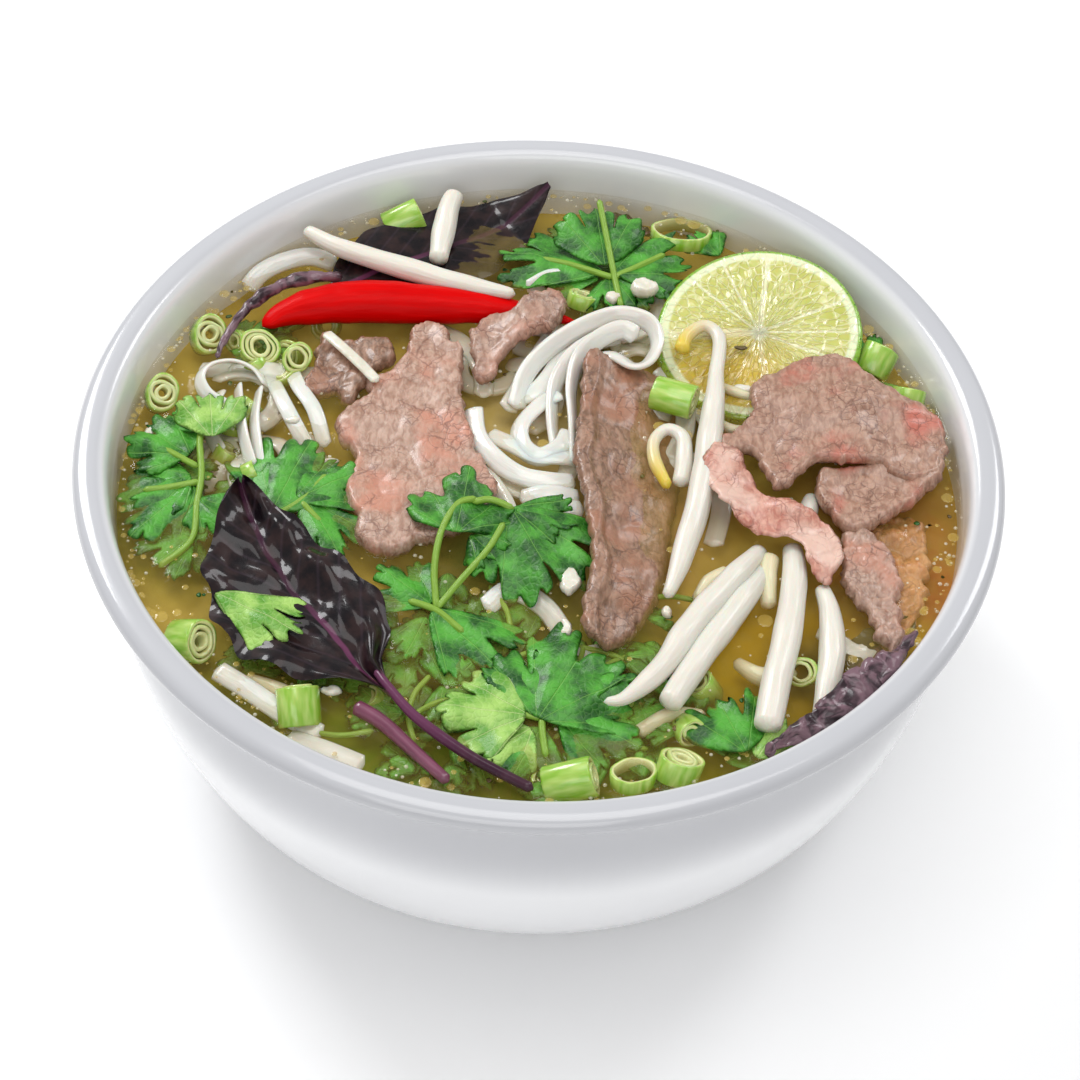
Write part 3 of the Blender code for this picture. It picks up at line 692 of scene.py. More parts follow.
def slope_from_ridge(p):
    """High along its left edge, then a step, then down to the right until it's under."""
    ridge = np.interp(p[:, 1], (-40, -20, -3, 8, 22, 38), (-5, -3.4, -5.4, -7.8, -7, -6.2))
    past = p[:, 0] - ridge + 0.5 * np.sin(p[:, 1] / 3.1)
    return (1.6 - 1.7 * np.clip((past - 3.2) / 1.1, 0, 1) - 0.42 * np.maximum(past - 4.3, 0)
            + 0.35 * np.sin(p[:, 1] / 5))


beef("beef_slice_on_edge", "beef_edge",
     [(9.5, 31), (11, 34), (20, 34.5), (30, 31), (33, 20), (32, 5), (30, -10), (28.5, -25),
      (25, -38), (18, -48), (12, -47), (11, -41), (12.4, -27), (10.4, -10), (8, 2), (8.8, 16)], 3.6,
     brown, (14, 5), 86, seed=9, ragged=0.7, low=0.6, middle=(15.75, -6.5), rim=0.8,
     lift=slope_from_ridge)
beef("beef_slice_right", "beef_right",
     [(46, 23), (48, 28), (55, 32), (63, 35), (69, 33), (78, 25), (87.5, 18), (89, 11), (88, 4),
      (83, -1), (78, -1), (73, 2.5), (66, 2), (60, 2), (52, -6), (48.5, 0), (45, 6), (36, 0),
      (40, 10), (46, 16)], 3.2, rosy, (12, 7), 30, seed=11, low=3.0,
      middle=(59.75, 13.5),
     lift=lambda p: 1.2 * np.sin(p[:, 0] / 7.0 + 0.6) + 0.7 * np.sin(p[:, 1] / 4.0) + 0.6)
beef("beef_fold_right", "beef_right_fold",
     [(82, 14), (87, 10), (88, 3), (84, -3), (79, -8), (73, -13), (67, -15), (62.5, -10),
      (59.5, -3), (62, 2), (68, 3.5), (74, 7)], 4.2, rosy, (9, 5), 60, seed=13, low=0.6,
      middle=(74.5, 1),
     lift=lambda p: 0.8 * np.sin(p[:, 0] / 4.0) + 0.5 * np.sin(p[:, 1] / 3.0) + 0.2)
raw = meat("half_raw_beef", (208, 154, 134), (176, 108, 90), (222, 190, 174), 0.5)
beef("beef_curl_low", "beef_curl",
     [(36, 1), (38, 7), (43, 6), (46.5, -1), (50, -6.5), (56, -9), (62.5, -12.5), (65.5, -20),
      (62, -29), (58.5, -26.5), (55.5, -19), (49, -17), (43, -14), (38.5, -8), (36, -2)],
     1.3, raw, (12, 4.0), -45, seed=15, ragged=1.0, relief=0.2, rim=0.5,
     lift=lambda p: 0.7 * np.sin(p[:, 0] / 2.4) + 0.8 * np.sin(p[:, 1] / 2.1 + 1) + 0.6
     - 0.06 * p[:, 0])
beef("beef_piece_low", "beef_low",
     [(65, -15), (70, -14.5), (74, -19), (77, -28), (76, -35), (77, -43), (73, -46),
      (69.5, -37), (64.5, -28)], 4.0, grey, (4.0, 3.0), 30, seed=17, ragged=1.8, relief=0.9,
     lift=lambda p: 0.05 * p[:, 1] + 0.3)

# One more slice has sunk at the right; the broth's fat makes it look orange.
sunken = meat("sunken_beef", (214, 150, 96), (168, 98, 50), (222, 168, 120), 0.6)
x, y = home("beef_low")[:2] + (10.5, 7)
points, faces = slab([(x - 10, y + 14), (x - 2, y + 18), (x + 3, y + 12), (x + 2, y - 2),
                      (x - 4, y - 17), (x - 9, y - 20), (x - 9, y - 6), (x - 12, y + 4)],
                     LEVEL - 4.6, 3.0, 0.7, 1.2, 1.8, seed=23,
                     relief=lambda flat, gap: 1.6 * rolling(flat, 0.22, 4) * np.clip(gap / 2, 0, 1)
                     + 0.7 * bundles(flat, (6, 4), 40, 4))
sunk_slice = made_of("beef_slice_sunken", points, faces, sunken)
keep(sunk_slice, "crack", bundles(points[:, :2], (6, 4), 40, 4))


# --- Lime ------------------------------------------------------------------
# A round slice, 5 mm thick, that floats with its near edge under the broth.
# Thin green rind, white pith, and ten wedges of juice sacs between membranes.

LIME_THICK = 5.0
WEDGES = 10
UNEVEN = 0.35  # how much they differ in width
HIGH_SIDE = math.radians(60)
SLOPE = math.tan(math.radians(11))
lime_low, lime_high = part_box("lime_slice")
LIME_RADIUS = (lime_high.x - lime_low.x) / 2 / MM
lime_middle = home("lime_slice")


def lime_flesh(radius, angle):
    """Height of the cut face: membranes stand up a little, sacs bulge between them."""
    wedge = abs((angle / math.tau * WEDGES + UNEVEN * math.sin(angle * 3)) % 1 - 0.5) * 2
    inner = max(0.0, min(1.0, radius / 3, (LIME_RADIUS - 3.0 - radius) / 0.8))
    sacs = noise.noise(Vector((angle * 9, radius * 0.35, 0)))
    return inner * (0.45 * (1 - wedge ** 8) + 0.35 * sacs - 0.5)


profile = [(LIME_RADIUS * i / 40, None) for i in range(1, 38)]
rim_ring = [(LIME_RADIUS - 0.9, 2.45), (LIME_RADIUS - 0.25, 2.2), (LIME_RADIUS, 1.5),
            (LIME_RADIUS, -1.5), (LIME_RADIUS - 0.25, -2.2), (LIME_RADIUS - 0.9, -2.5)]
points, places = [], []
STEPS = 180
for radius, height in profile + rim_ring + [(1.0, -2.5)]:
    for i in range(STEPS):
        a = math.tau * i / STEPS
        z = LIME_THICK / 2 + lime_flesh(radius, a) if height is None else height
        pores = 0.0
        if height is not None and abs(height) < 2.3:
            pores = 0.12 * noise.noise(Vector((a * 20, height, 3)))
        x, y = (radius + pores) * math.cos(a), (radius + pores) * math.sin(a)
        places.append((x, y, z))
        z += (x * math.cos(HIGH_SIDE) + y * math.sin(HIGH_SIDE)) * SLOPE
        points.append((x, y, z))
rows = len(profile) + len(rim_ring) + 1
faces = grid_faces(rows, STEPS)
faces += [tuple(range(STEPS - 1, -1, -1)), tuple((rows - 1) * STEPS + i for i in range(STEPS))]

lime_finish = Finish("lime", Roughness=0.2, Coat_Weight=0.8, Coat_Roughness=0.06,
                     Subsurface_Weight=0.2, Subsurface_Scale=0.004)
where = lime_finish.place()
x, y, z = (lime_finish.axis(where, k) for k in "XYZ")
radius = lime_finish.math("SQRT", x * x + y * y)
angle = lime_finish.math("ARCTAN2", y, x)
around = angle / math.tau * WEDGES + UNEVEN * lime_finish.math("SINE", angle * 3) + 20.0
wedge = lime_finish.math("ABSOLUTE", lime_finish.math("FRACT", around) - 0.5) * 2
membrane = lime_finish.step((1 - wedge) * radius * 0.314, 0.75, 0.15)
polar = lime_finish.node("ShaderNodeCombineXYZ", {}, {
    "X": angle * 7.0, "Y": radius * 0.26, "Z": 0.0})
sacs = lime_finish.cells(polar, 1.5)
juicy = lime_finish.noise(where, 0.25, 3.0)
flesh = lime_finish.mix(juicy, tone(172, 178, 60), tone(212, 208, 132))
flesh = lime_finish.mix(lime_finish.step(sacs, 0.1, 0.0) * 0.6, flesh, tone(228, 226, 178))
flesh = lime_finish.mix(membrane * 0.85, flesh, tone(232, 230, 190))
pith = lime_finish.step(radius + 0.7 * juicy, LIME_RADIUS - 3.0, LIME_RADIUS - 2.2)
spot = lime_finish.node("ShaderNodeTexCoord", {}, {}, out="Object")
wet = near(lime_finish, lime_finish.scaled(spot, 1 / MM, 1 / MM, 1 / MM), "lime_slice", 24,
           (-8, -16))
flesh = lime_finish.mix(wet * 0.8, flesh, tone(196, 160, 18))
colour = lime_finish.mix(pith, flesh, tone(226, 232, 190))
core = lime_finish.step(radius, 2.6, 1.2)
colour = lime_finish.mix(core * 0.8, colour, tone(230, 230, 192))
rind = lime_finish.step(radius, LIME_RADIUS - 1.35, LIME_RADIUS - 0.8)
oils = lime_finish.step(lime_finish.cells(where, 0.9, "F1"), 0.32, 0.12)
skin = lime_finish.mix(oils, tone(128, 176, 40), tone(72, 128, 20))
colour = lime_finish.mix(rind, colour, skin)
lime_finish.give(
    Base_Color=soaked(lime_finish, colour, 3.6, tone(196, 172, 30)),
    Normal=lime_finish.bump(lime_finish.math("MINIMUM", sacs, 0.18) * 4 + oils * rind, 0.4, 0.8))
lime = made_of("lime_slice_cut", np.array(points) + lime_middle, faces, lime_finish,
               places)
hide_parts("lime_slice")


# --- Chilli ----------------------------------------------------------------
# A whole ripe chilli, afloat on its side: thin glossy skin, a little dented,
# thick near its cut cap and drawn out to a thin tip.

chilli_finish, streaks, colour = streaked(
    "red_chilli", (0.08, 0.5, 0.5), (178, 0, 1), (222, 2, 2), Roughness=0.35,
    Specular_IOR_Level=0.05, Coat_Weight=0.02, Coat_Roughness=0.05)
# The lower side of the chilli is painted darker: painted shade.
under = chilli_finish.step(chilli_finish.axis(chilli_finish.place(), "Z"), -0.5, -3.5)
colour = chilli_finish.mix(under * 0.7, colour, tone(88, 4, 6))
chilli_finish.give(Base_Color=soaked(chilli_finish, colour, 5.0),
                   Normal=chilli_finish.bump(streaks, 0.6, 0.5))


def seat(node, route):
    """Moves a route so that its middle is the middle of a CAD solid."""
    route = np.asarray(route, float)
    return route + home(node) - (route.min(0) + route.max(0)) / 2


noise.seed_set(3)  # noise_vector starts from the clock if this isn't set
points, faces, places = swept(
    seat("red_chilli", [(-65.5, 37.5, 70.2), (-61, 41.5, 70.5), (-52, 45, 70.8), (-40, 46.6, 70.8),
                        (-28, 47, 70.4), (-17, 47.2, 70), (-4, 46.6, 69.4), (6, 44.8, 69.2)]),
    [1.4, 4.4, 5.4, 5.4, 4.8, 4.0, 2.4, 0.5], [1.2, 3.6, 4.5, 4.5, 4.0, 3.3, 2.0, 0.5],
    sides=28, step=1.0, blunt=2.0)
points = points + [0.22 * noise.noise_vector(Vector(p) * 0.22) for p in points]
chilli = made_of("red_chilli_whole", points, faces, chilli_finish, places)
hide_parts("red_chilli")


# --- Purple basil ------------------------------------------------------------
# Leaves so dark that they look black, quilted between their veins and glossy
# where they are wet.  Ribs and stalks are purple.

VEINS = 0.13  # side veins to a millimetre of a leaf's midrib
SLANT = 0.2  # and how they lean towards its tip
basil_finish = Finish("purple_basil", Roughness=0.3, Specular_IOR_Level=0.12, Coat_Weight=0.42,
                      Coat_Roughness=0.07)
where = basil_finish.place()
along = basil_finish.axis(where, "X")
side = basil_finish.math("ABSOLUTE", basil_finish.axis(where, "Y"))
mottle = basil_finish.noise(where, 0.3, 4.0)
fine = basil_finish.noise(where, 0.9, 2.0)
colour = basil_finish.mix(basil_finish.step(mottle, 0.35, 0.7), tone(12, 6, 11), tone(42, 26, 26))
vein = basil_finish.math("FRACT", along * VEINS - side * SLANT + 8.0)
vein = basil_finish.step(basil_finish.math("ABSOLUTE", vein - 0.5), 0.38, 0.5)
colour = basil_finish.mix(vein * 0.2, colour, tone(72, 58, 70))
midrib = basil_finish.step(side, 0.9, 0.4)
midrib = midrib * (0.25 + 0.6 * basil_finish.step(along, 34.0, 14.0))
colour = basil_finish.mix(midrib, colour, tone(104, 52, 84))
basil_finish.give(
    Base_Color=soaked(basil_finish, colour, 4.0, tone(112, 100, 56)),
    Roughness=0.2 + 0.2 * mottle,
    Normal=basil_finish.bump(fine + mottle, 0.18, 0.3))


def leaf(base, tip, width, bend, quilt=1.0, thick=0.5, fullness=0.75, seed=0, halves=None,
         rows=70, columns=44):
    """A leaf; bend(t, s) lifts it, t along its midrib and s across.

    It is a pointed oval, unless halves gives the half widths to either side."""
    base, tip = np.array(base, float), np.array(tip, float)
    span = tip - base
    length = np.linalg.norm(span)
    side = np.array([-span[1], span[0]]) / length
    points, places = [], []
    for face in (1, -1):
        for i in range(rows):
            t = i / (rows - 1)
            half = width / 2 * max(0.02, math.sin(math.pi * min(0.995, t ** 0.8))) ** fullness
            sides = [float(np.interp(t, *h)) for h in halves] if halves else [half, half]
            sides = [h * (1 + 0.05 * math.sin(t * 34 + seed)) + 0.05 for h in sides]
            rib = 0.3 * (sides[0] - sides[1])
            for j in range(columns):
                s = 2 * j / (columns - 1) - 1
                across = s * (sides[0] - rib if s > 0 else sides[1] + rib)
                spot = base + span * t + side * (across + rib)
                wave = (t * length * VEINS - abs(across) * SLANT + 8.0) % 1
                puff = 0.35 * math.sin(math.pi * wave) * (1 - s ** 6)
                puff *= min(1, abs(across) / 2) * quilt
                rough = 1.7 * noise.noise(Vector((spot[0] * 0.11, spot[1] * 0.11, seed)))
                edge = 0.7 * abs(s) ** 4 * math.sin(t * 30 + 4 * s + seed)
                groove = 0.5 * math.exp(-(across / 0.9) ** 2) * quilt
                z = bend(t, s) + puff + quilt * (rough + edge) - groove
                z += face * thick / 2 * (1 - s ** 8)
                points.append((spot[0], spot[1], z))
                places.append((t * length, across, z))
    points = np.array(points)
    faces = grid_faces(rows, columns, 0, False)
    faces += [tuple(reversed(f)) for f in grid_faces(rows, columns, rows * columns, False)]
    return points, faces, places


def stem(pile, route, radius):
    """A leaf's own stalk, in the purple of its midrib."""
    points, faces, places = swept(route, radius, radius, sides=12, blunt=0.6)
    places[:, 1] *= 0.1
    pile.add(points, faces, places)


# The numbers of both large leaves are for solids whose middles are at these places.
front = home("basil_leaf_front") - (-30.75, -47, 71.9)
points, faces, places = leaf(
    (-28, -62), (-63.5, -10), 35,
    lambda t, s: 70.7 + 4.0 * t ** 3 + 2.6 * abs(s) ** 1.6 * (0.3 + t) + 0.8 * math.sin(t * 5 + s)
    + 1.0 * math.sin(s * 8.5) * (s < 0) * (1.3 - t) - 1.2 * t * abs(s), 1.1, seed=2,
    halves=[((0, 0.1, 0.18, 0.27, 0.46, 0.68, 0.8, 0.87, 0.96, 1),
             (0.5, 7.8, 13.9, 19, 22.8, 19.5, 14.6, 10, 4.4, 0.5)),
            ((0, 0.13, 0.22, 0.3, 0.42, 0.49, 0.63, 0.825, 1),
             (0.5, 3, 8.6, 10.4, 10.2, 8.7, 6.4, 3.6, 0.5))])
pile = Pile()
pile.add(points + front, faces, places)
stem(pile, np.array([(-31, -57, 71), (-28, -61.5, 71.4), (-22, -69, 71.8), (-12, -77, 71.8),
                     (-4, -82, 72), (2, -85.5, 72.4)]) + front, [0.9, 1.2, 1.1])
front_leaf = pile.done("basil_leaf_front_quilted", basil_finish, "purple_basil")
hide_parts("basil_leaf_front")

back = home("basil_leaf_back") - (-24.5, 71, 70)
points, faces, places = leaf(
    (-50, 54), (-1, 86), 27,
    lambda t, s: 69.9 + 0.7 * math.sin(t * 7) + 7.0 * max(0, t - 0.8) / 0.2 * (0.4 + 0.6 * t)
    + 0.9 * s * math.sin(t * 3), 0.35, seed=5)
back_leaf = made_of("basil_leaf_back_quilted", points + back, faces, basil_finish,
                    places)
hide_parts("basil_leaf_back")

curled_finish = Finish("curled_basil", Roughness=0.3, Specular_IOR_Level=0.3, Coat_Weight=0.4,
                       Coat_Roughness=0.12)
where = curled_finish.place()
mottle = curled_finish.noise(where, 0.35, 4.0, 0.6)
fold = curled_finish.noise(curled_finish.scaled(where, 0.12, 0.9, 0.9), 1.0, 3.0)
colour = curled_finish.mix(curled_finish.step(mottle, 0.36, 0.6), tone(42, 24, 32),
                           tone(116, 88, 98))
curled_finish.give(Base_Color=soaked(curled_finish, colour, 4.0, tone(112, 100, 56)),
                   Normal=curled_finish.bump(fold, 0.4, 0.5))

for name, node, route, wide, tall in [
        ("basil_leaf_left_curled", "basil_leaf_left",
         [(-73, 29, 69.8), (-70.5, 37, 71), (-67, 44.5, 71.6), (-61.5, 50.5, 72), (-55, 54, 72),
          (-47, 56, 71.2)], [0.6, 0.9, 1.2, 1.4, 1.7, 1.0], [0.5, 0.8, 1.1, 1.2, 1.0]),
        ("basil_leaf_right_curled", "basil_leaf_right",
         [(46, -73, 71.0), (57, -67, 72), (64.4, -59.4, 73), (71.4, -52, 73.4), (78.5, -43, 73)],
         [0.9, 2.2, 4.2, 4.2, 2.4, 0.7], [0.6, 1.2, 1.8, 1.7, 0.8])]:
    points, faces, places = swept(seat(node, route), wide, tall, sides=26, step=0.6,
                                  lean=(20, 40, 20))
    crumple = [noise.noise_vector(Vector(p) * 0.3) * 0.35 * max(wide)
               + noise.noise_vector(Vector(p)) * 0.1 * max(wide) for p in points]
    piece = made_of(name, points + crumple, faces, curled_finish, places)
    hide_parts(node)

stalk_finish, ribbed, colour = streaked(
    "purple_stalk", (0.15, 1.2, 1.2), (74, 24, 48), (142, 78, 104), Roughness=0.3,
    Coat_Weight=0.5, Coat_Roughness=0.1)
stalk_finish.give(Base_Color=soaked(stalk_finish, colour, 5.0),
                  Normal=stalk_finish.bump(ribbed, 0.3, 0.6))
pile = Pile()
stem(pile, seat("basil_stalk", [(-35, -66, 69.6), (-29, -70, 69.8), (-22, -77, 70),
                                (-15, -84, 70.4)]), [1.7, 1.5, 1.2])
stalk = pile.done("basil_stalk_bare", stalk_finish, "purple_basil")
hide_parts("basil_stalk")

# Smaller purple leaves show dimly under the surface at the right and the back.
pile = Pile()
for base, tip, width, low in [((66, -50), (80, -34), 11, -2.2), ((-40, 66), (-20, 60), 9, -1.6),
                              ((10, 84), (24, 80), 8, -1.2)]:
    pile.add(*leaf(base, tip, width, lambda t, s, low=low: LEVEL + low + 0.8 * s * s, 0.5,
                   seed=8))
pile.done("sunk_basil", basil_finish, "purple_basil")


# --- Coriander -------------------------------------------------------------
# Sprigs of fresh coriander: thin fans of toothed lobes on slender stalks, bright
# green above, paler below, creased along their veins and curled by the heat.


def leaf_green(name, dark, bright, vein_tone):
    made = Finish(name, Roughness=0.42, Specular_IOR_Level=0.35, Coat_Weight=0.18,
                  Coat_Roughness=0.12)
    where = made.place()
    along, across = made.axis(where, "X"), made.axis(where, "Y")
    patch = made.noise(where, 0.18, 3.0)
    fine = made.cells(where, 0.75)
    angle = made.math("ARCTAN2", across, along + 0.4)
    spoke = made.math("ABSOLUTE", made.math("FRACT", angle * 1.9 + 10.5) - 0.5)
    width = made.math("SQRT", along * along + across * across) * 0.9 + 0.5
    vein = made.step(spoke * width, 0.32, 0.08)
    colour = made.mix(made.step(patch, 0.32, 0.68), tone(*dark), tone(*bright))
    colour = made.mix(made.step(fine, 0.07, 0.0) * 0.16, colour, tone(*vein_tone))
    colour = made.mix(vein * 0.4, colour, tone(*vein_tone))
    colour = made.mix(made.step(along, 24.0, 28.0), colour, tone(128, 166, 58))
    made.give(Base_Color=soaked(made, colour, 8.0, tone(96, 122, 8)),
              Roughness=0.34 + 0.25 * patch,
              Normal=made.bump(made.math("MINIMUM", fine, 0.25) * 1.5 - vein * 0.5, 0.35, 0.7))
    return made


fresh = leaf_green("coriander_fresh", (12, 74, 8), (76, 158, 46), (126, 186, 80))
light = leaf_green("coriander_light", (84, 146, 40), (160, 200, 100), (208, 222, 156))


def fan(base, tip, spread, lobes=3, teeth=3, seed=0):
    """Outline of a leaflet: lobes parted by deep notches, each with rounded teeth."""
    rng = random.Random(seed)
    base, tip = np.array(base, float), np.array(tip, float)
    length = np.linalg.norm(tip - base)
    heading = math.atan2(*(tip - base)[::-1])
    outline = [base + 0.02 * (tip - base)]
    spokes = lobes * teeth * 4 + 1
    sizes = [rng.uniform(0.86, 1.08) for _ in range(lobes)]
    for i in range(spokes):
        t = i / (spokes - 1)
        turn = (t - 0.5) * math.radians(spread)
        lobe = min(lobes - 1, int(t * lobes))
        notch = abs(math.sin(math.pi * t * lobes)) ** 0.5 if 0 < t < 1 else 0.15
        tooth = abs(math.sin(math.pi * t * lobes * teeth)) ** 0.8
        reach = length * sizes[lobe] * (0.7 + 0.3 * math.cos(turn * 1.2))
        reach *= 0.63 + 0.25 * notch + 0.12 * tooth
        turn += math.radians(rng.uniform(-2.5, 2.5))
        outline.append(base + reach * np.array([math.cos(heading + turn),
                                                math.sin(heading + turn)]))
    return outline


def leaflet(pile, base, tip, spread, low, rise=0.0, curl=1.0, lobes=3, seed=0, step=0.6):
    """A thin leaflet at a height over the broth, which rises along its length and curls."""
    base, tip = np.array(base, float), np.array(tip, float)
    length = np.linalg.norm(tip - base)
    ahead = (tip - base) / length
    side = np.array([-ahead[1], ahead[0]])

    def lift(flat):
        u, v = (flat - base) @ ahead / length, (flat - base) @ side / length
        angle = np.arctan2(v, u + 0.05)
        far = np.hypot(u, v)
        folds = 0.9 * np.cos(angle * lobes * 2.2 + seed) * far
        wave = 1.3 * rolling(flat, 0.16, seed + 3) * far
        return rise * length * u + curl * (folds + wave - 1.6 * v * v * 1.6 - 0.9 * far ** 3)

    points, faces = slab(fan(base, tip, spread, lobes, seed=seed), LEVEL + low, 0.35, step, 0.5,
                         lift=lift)
    local = points[:, :2] - base
    places = np.stack([local @ ahead, local @ side, points[:, 2]], 1)
    pile.add(points, faces, places)


def twig(pile, route, radius=0.75):
    """A stalk, whose place keeps to where the leaf's green is even."""
    points, faces, places = swept(route, radius, radius, sides=8, blunt=0.5)
    places[:, 0] = places[:, 0] * 0.3 + 30
    pile.add(points, faces, places)


# Each sprig has leaflets, from base to tip and then as leaflet takes them, and stalks.
for name, node, finish, leaflets, stalks in [
        ("sprig_left", "coriander_left", fresh, [
            ((-76, -1), (-89.5, 8), 150, 1.6, 0.03, 1.2, 4),
            ((-75, -6), (-88.5, -12), 140, 0.8, 0.0, 1.0, 4), ((-74, -8), (-86, -24), 120, 0.4),
            ((-73, -13), (-65, -21), 140, 1.2), ((-75, 6), (-81, 14), 110, 1.9, 0.02),
            ((-73, -22), (-82, -32), 90, -0.6, 0, 0.6)],
         [[(-74, 13, 2.2), (-74.5, 4, 1.9), (-73, -6, 1.4), (-73, -15, 1.1), (-73, -24, 0.4),
           (-79, -31, -0.6)], [(-74, -4, 1.5), (-79, -1, 1.6), (-84, 2, 1.8)],
          [(-73, -8, 1.3), (-80, -10, 1.0), (-85, -11, 1.0)]]),
        ("sprig_pale", "coriander_pale", light, [
            ((-71.5, 3), (-74, 18), 100, 3.4, 0.02)], []),
        ("sprig_upper", "coriander_upper", fresh, [
            ((-57, -16), (-50, 7), 115, 1.0, 0.02, 1.3), ((-52, -12), (-38, -2), 90, 1.2),
            ((-50, -11), (-41, -27), 80, 0.9), ((-57, -14), (-62, 2), 70, 0.6, 0, 1, 2)],
         [[(-58, -18, 0.8), (-51, -12, 1.0), (-46, -4, 1.0)], [(-51, -12, 1), (-46, -18, 1)]]),
        ("sprig_middle", "coriander_middle", fresh, [
            ((-17, -23), (-15, -5), 150, 5.4, 0.04, 1.5),
            ((-6, -14), (6, -36), 130, 5.0, -0.12, 1.3, 4),
            ((-5, -15), (9, -17), 90, 5.0, -0.08, 1.2), ((-14, -22), (-7, -29), 100, 4.4, -0.05)],
         [[(-14, -14, 5.6), (-10, -13, 5.6), (-5, -15, 5.2)],
          [(-20, -40, 1), (-21, -31, 3.6), (-20, -22, 5.4), (-17, -15, 6), (-13, -13, 5.8)],
          [(-20, -40, 1), (-15, -33, 3), (-10, -26, 4.6), (-7, -19, 5.2)]]),
        ("sprig_lower", "coriander_lower", fresh, [
            ((-21, -40), (-6, -55), 75, 1.0, 0.0, 0.9), ((-21, -39), (-33, -29), 100, 0.7),
            ((-22, -41), (-26, -53), 90, -0.4, 0, 0.8)],
         [[(-26, -38, 0.9), (-20, -40.5, 1.1), (-14, -46, 1.1)]]),
        ("sprig_on_leaf", "coriander_on_leaf", light, [
            ((-66, -41), (-47, -51), 60, 4.0, 0.0, 1.2)], []),
        ("sprig_back", "coriander_back", fresh, [
            ((13, 64), (10, 83), 110, 2.6, 0.22, 1.2),
            ((15, 62), (32, 72), 120, 2.4, 0.05, 1.2, 4), ((13, 63), (-12, 69), 60, 1.6, 0.0, 1.2),
            ((15, 62), (29, 58), 90, 1.6), ((12, 62), (-2, 60), 70, 0.8),
            ((14, 62), (15, 50), 90, 1.4)],
         [[(17, 52, 1.4), (15.5, 60, 2.2), (13.5, 70, 4.4), (11, 82, 7.4)],
          [(15, 61, 2.2), (21, 65, 2.6), (27, 69, 3)],
          [(15, 61, 2.2), (4, 65, 2.2), (-5, 67, 1.8)]]),
        ("sprig_front", "coriander_front", fresh, [
            ((2, -68), (13, -46), 150, 1.5, 0.05, 1.3, 4), ((6, -66), (23, -72), 115, 0.5, 0, 1.1),
            ((3, -67), (22, -55), 90, 1.0, 0, 1.2), ((3, -68), (-3, -82), 110, -0.3),
            ((1, -65), (-4, -50), 80, 1.2, 0.03)],
         [[(4, -76, 0.2), (3, -67, 1), (6, -58, 1.4)], [(3, -67, 1), (-6, -65, 0.9)]]),
        ("sprig_low_right", "coriander_low_right", fresh, [
            ((44, -73), (37, -57), 110, 0.7, 0.03)], [])]:
    pile = Pile()
    for k, shape in enumerate(leaflets):
        leaflet(pile, *shape, seed=len(name) + k)
    for route in stalks:
        twig(pile, [(x, y, LEVEL + z) for x, y, z in route])
    piece = pile.done(name, finish, "coriander")
    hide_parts(node)

pile = Pile()
for base, tip, spread, low in [((0, -67), (-18, -66), 130, 1.6), ((1, -69), (-8, -78), 110, 0.4),
                               ((46, -74), (52, -64), 100, 0.2)]:
    leaflet(pile, base, tip, spread, low, 0.03, 1.2, seed=6)
pile.done("pale_leaves_in_front", light, "coriander")

# Under the surface hang more leaves, whole and torn, and a few thin stalks.
pile = Pile()
rng = random.Random(31)
for node, count, reach in [
        ("coriander_front", 58, 33), ("scallion_below_leaf", 20, 20), ("basil_stalk", 12, 13),
        ("coriander_left", 12, 18), ("coriander_lower", 11, 16), ("coriander_low_right", 12, 18),
        ("coriander_back", 12, 16), ("scallion_right_rim", 5, 12), ("scallion_by_chilli", 5, 10)]:
    middle = home(node)[:2]
    for _ in range(count):
        a, far = rng.uniform(0, math.tau), reach * math.sqrt(rng.random())
        base = middle + far * np.array([math.cos(a), math.sin(a)])
        a, size = rng.uniform(0, math.tau), rng.uniform(6, 14)
        tip = base + size * np.array([math.cos(a), math.sin(a)])
        if max(np.hypot(*base), np.hypot(*tip)) < CLEAR_OF_WALL:
            leaflet(pile, base, tip, rng.uniform(70, 130), rng.uniform(-3.8, -0.7),
                    rng.uniform(-0.1, 0.1), 0.7, seed=rng.randrange(99), step=0.9)
for _ in range(22):
    a, far = rng.uniform(3.3, 5.9), rng.uniform(45, 84)
    x, y, turn = far * math.cos(a), far * math.sin(a), rng.uniform(0, math.tau)
    z = rng.uniform(-3.5, -0.6)
    route = [(x + k * 6 * math.cos(turn + 0.2 * k), y + k * 6 * math.sin(turn + 0.2 * k),
              LEVEL + z + 0.3 * k) for k in range(4)]
    if max(math.hypot(p[0], p[1]) for p in route) < CLEAR_OF_WALL:
        twig(pile, route, 0.6)
pile.done("sunk_coriander", fresh, "coriander")


# --- Bean sprouts ------------------------------------------------------------
# Mung bean sprouts: crisp stems, white and full of water, that narrow to a thin
# yellowish root.  Two of them still have their curled yellow head.

sprout_finish, veins, colour = streaked(
    "bean_sprout", (0.1, 1.1, 1.1), (206, 201, 186), (226, 223, 214), Roughness=0.36,
    Coat_Weight=0.2, Coat_Roughness=0.12, Subsurface_Weight=0.3, Subsurface_Scale=0.005)
colour = sprout_finish.mix(sprout_finish.marked("yellow"), colour, tone(214, 190, 66))
sprout_finish.give(Base_Color=soaked(sprout_finish, colour, 4.5, tone(186, 158, 84)),
                   Normal=sprout_finish.bump(veins, 0.4, 0.5))


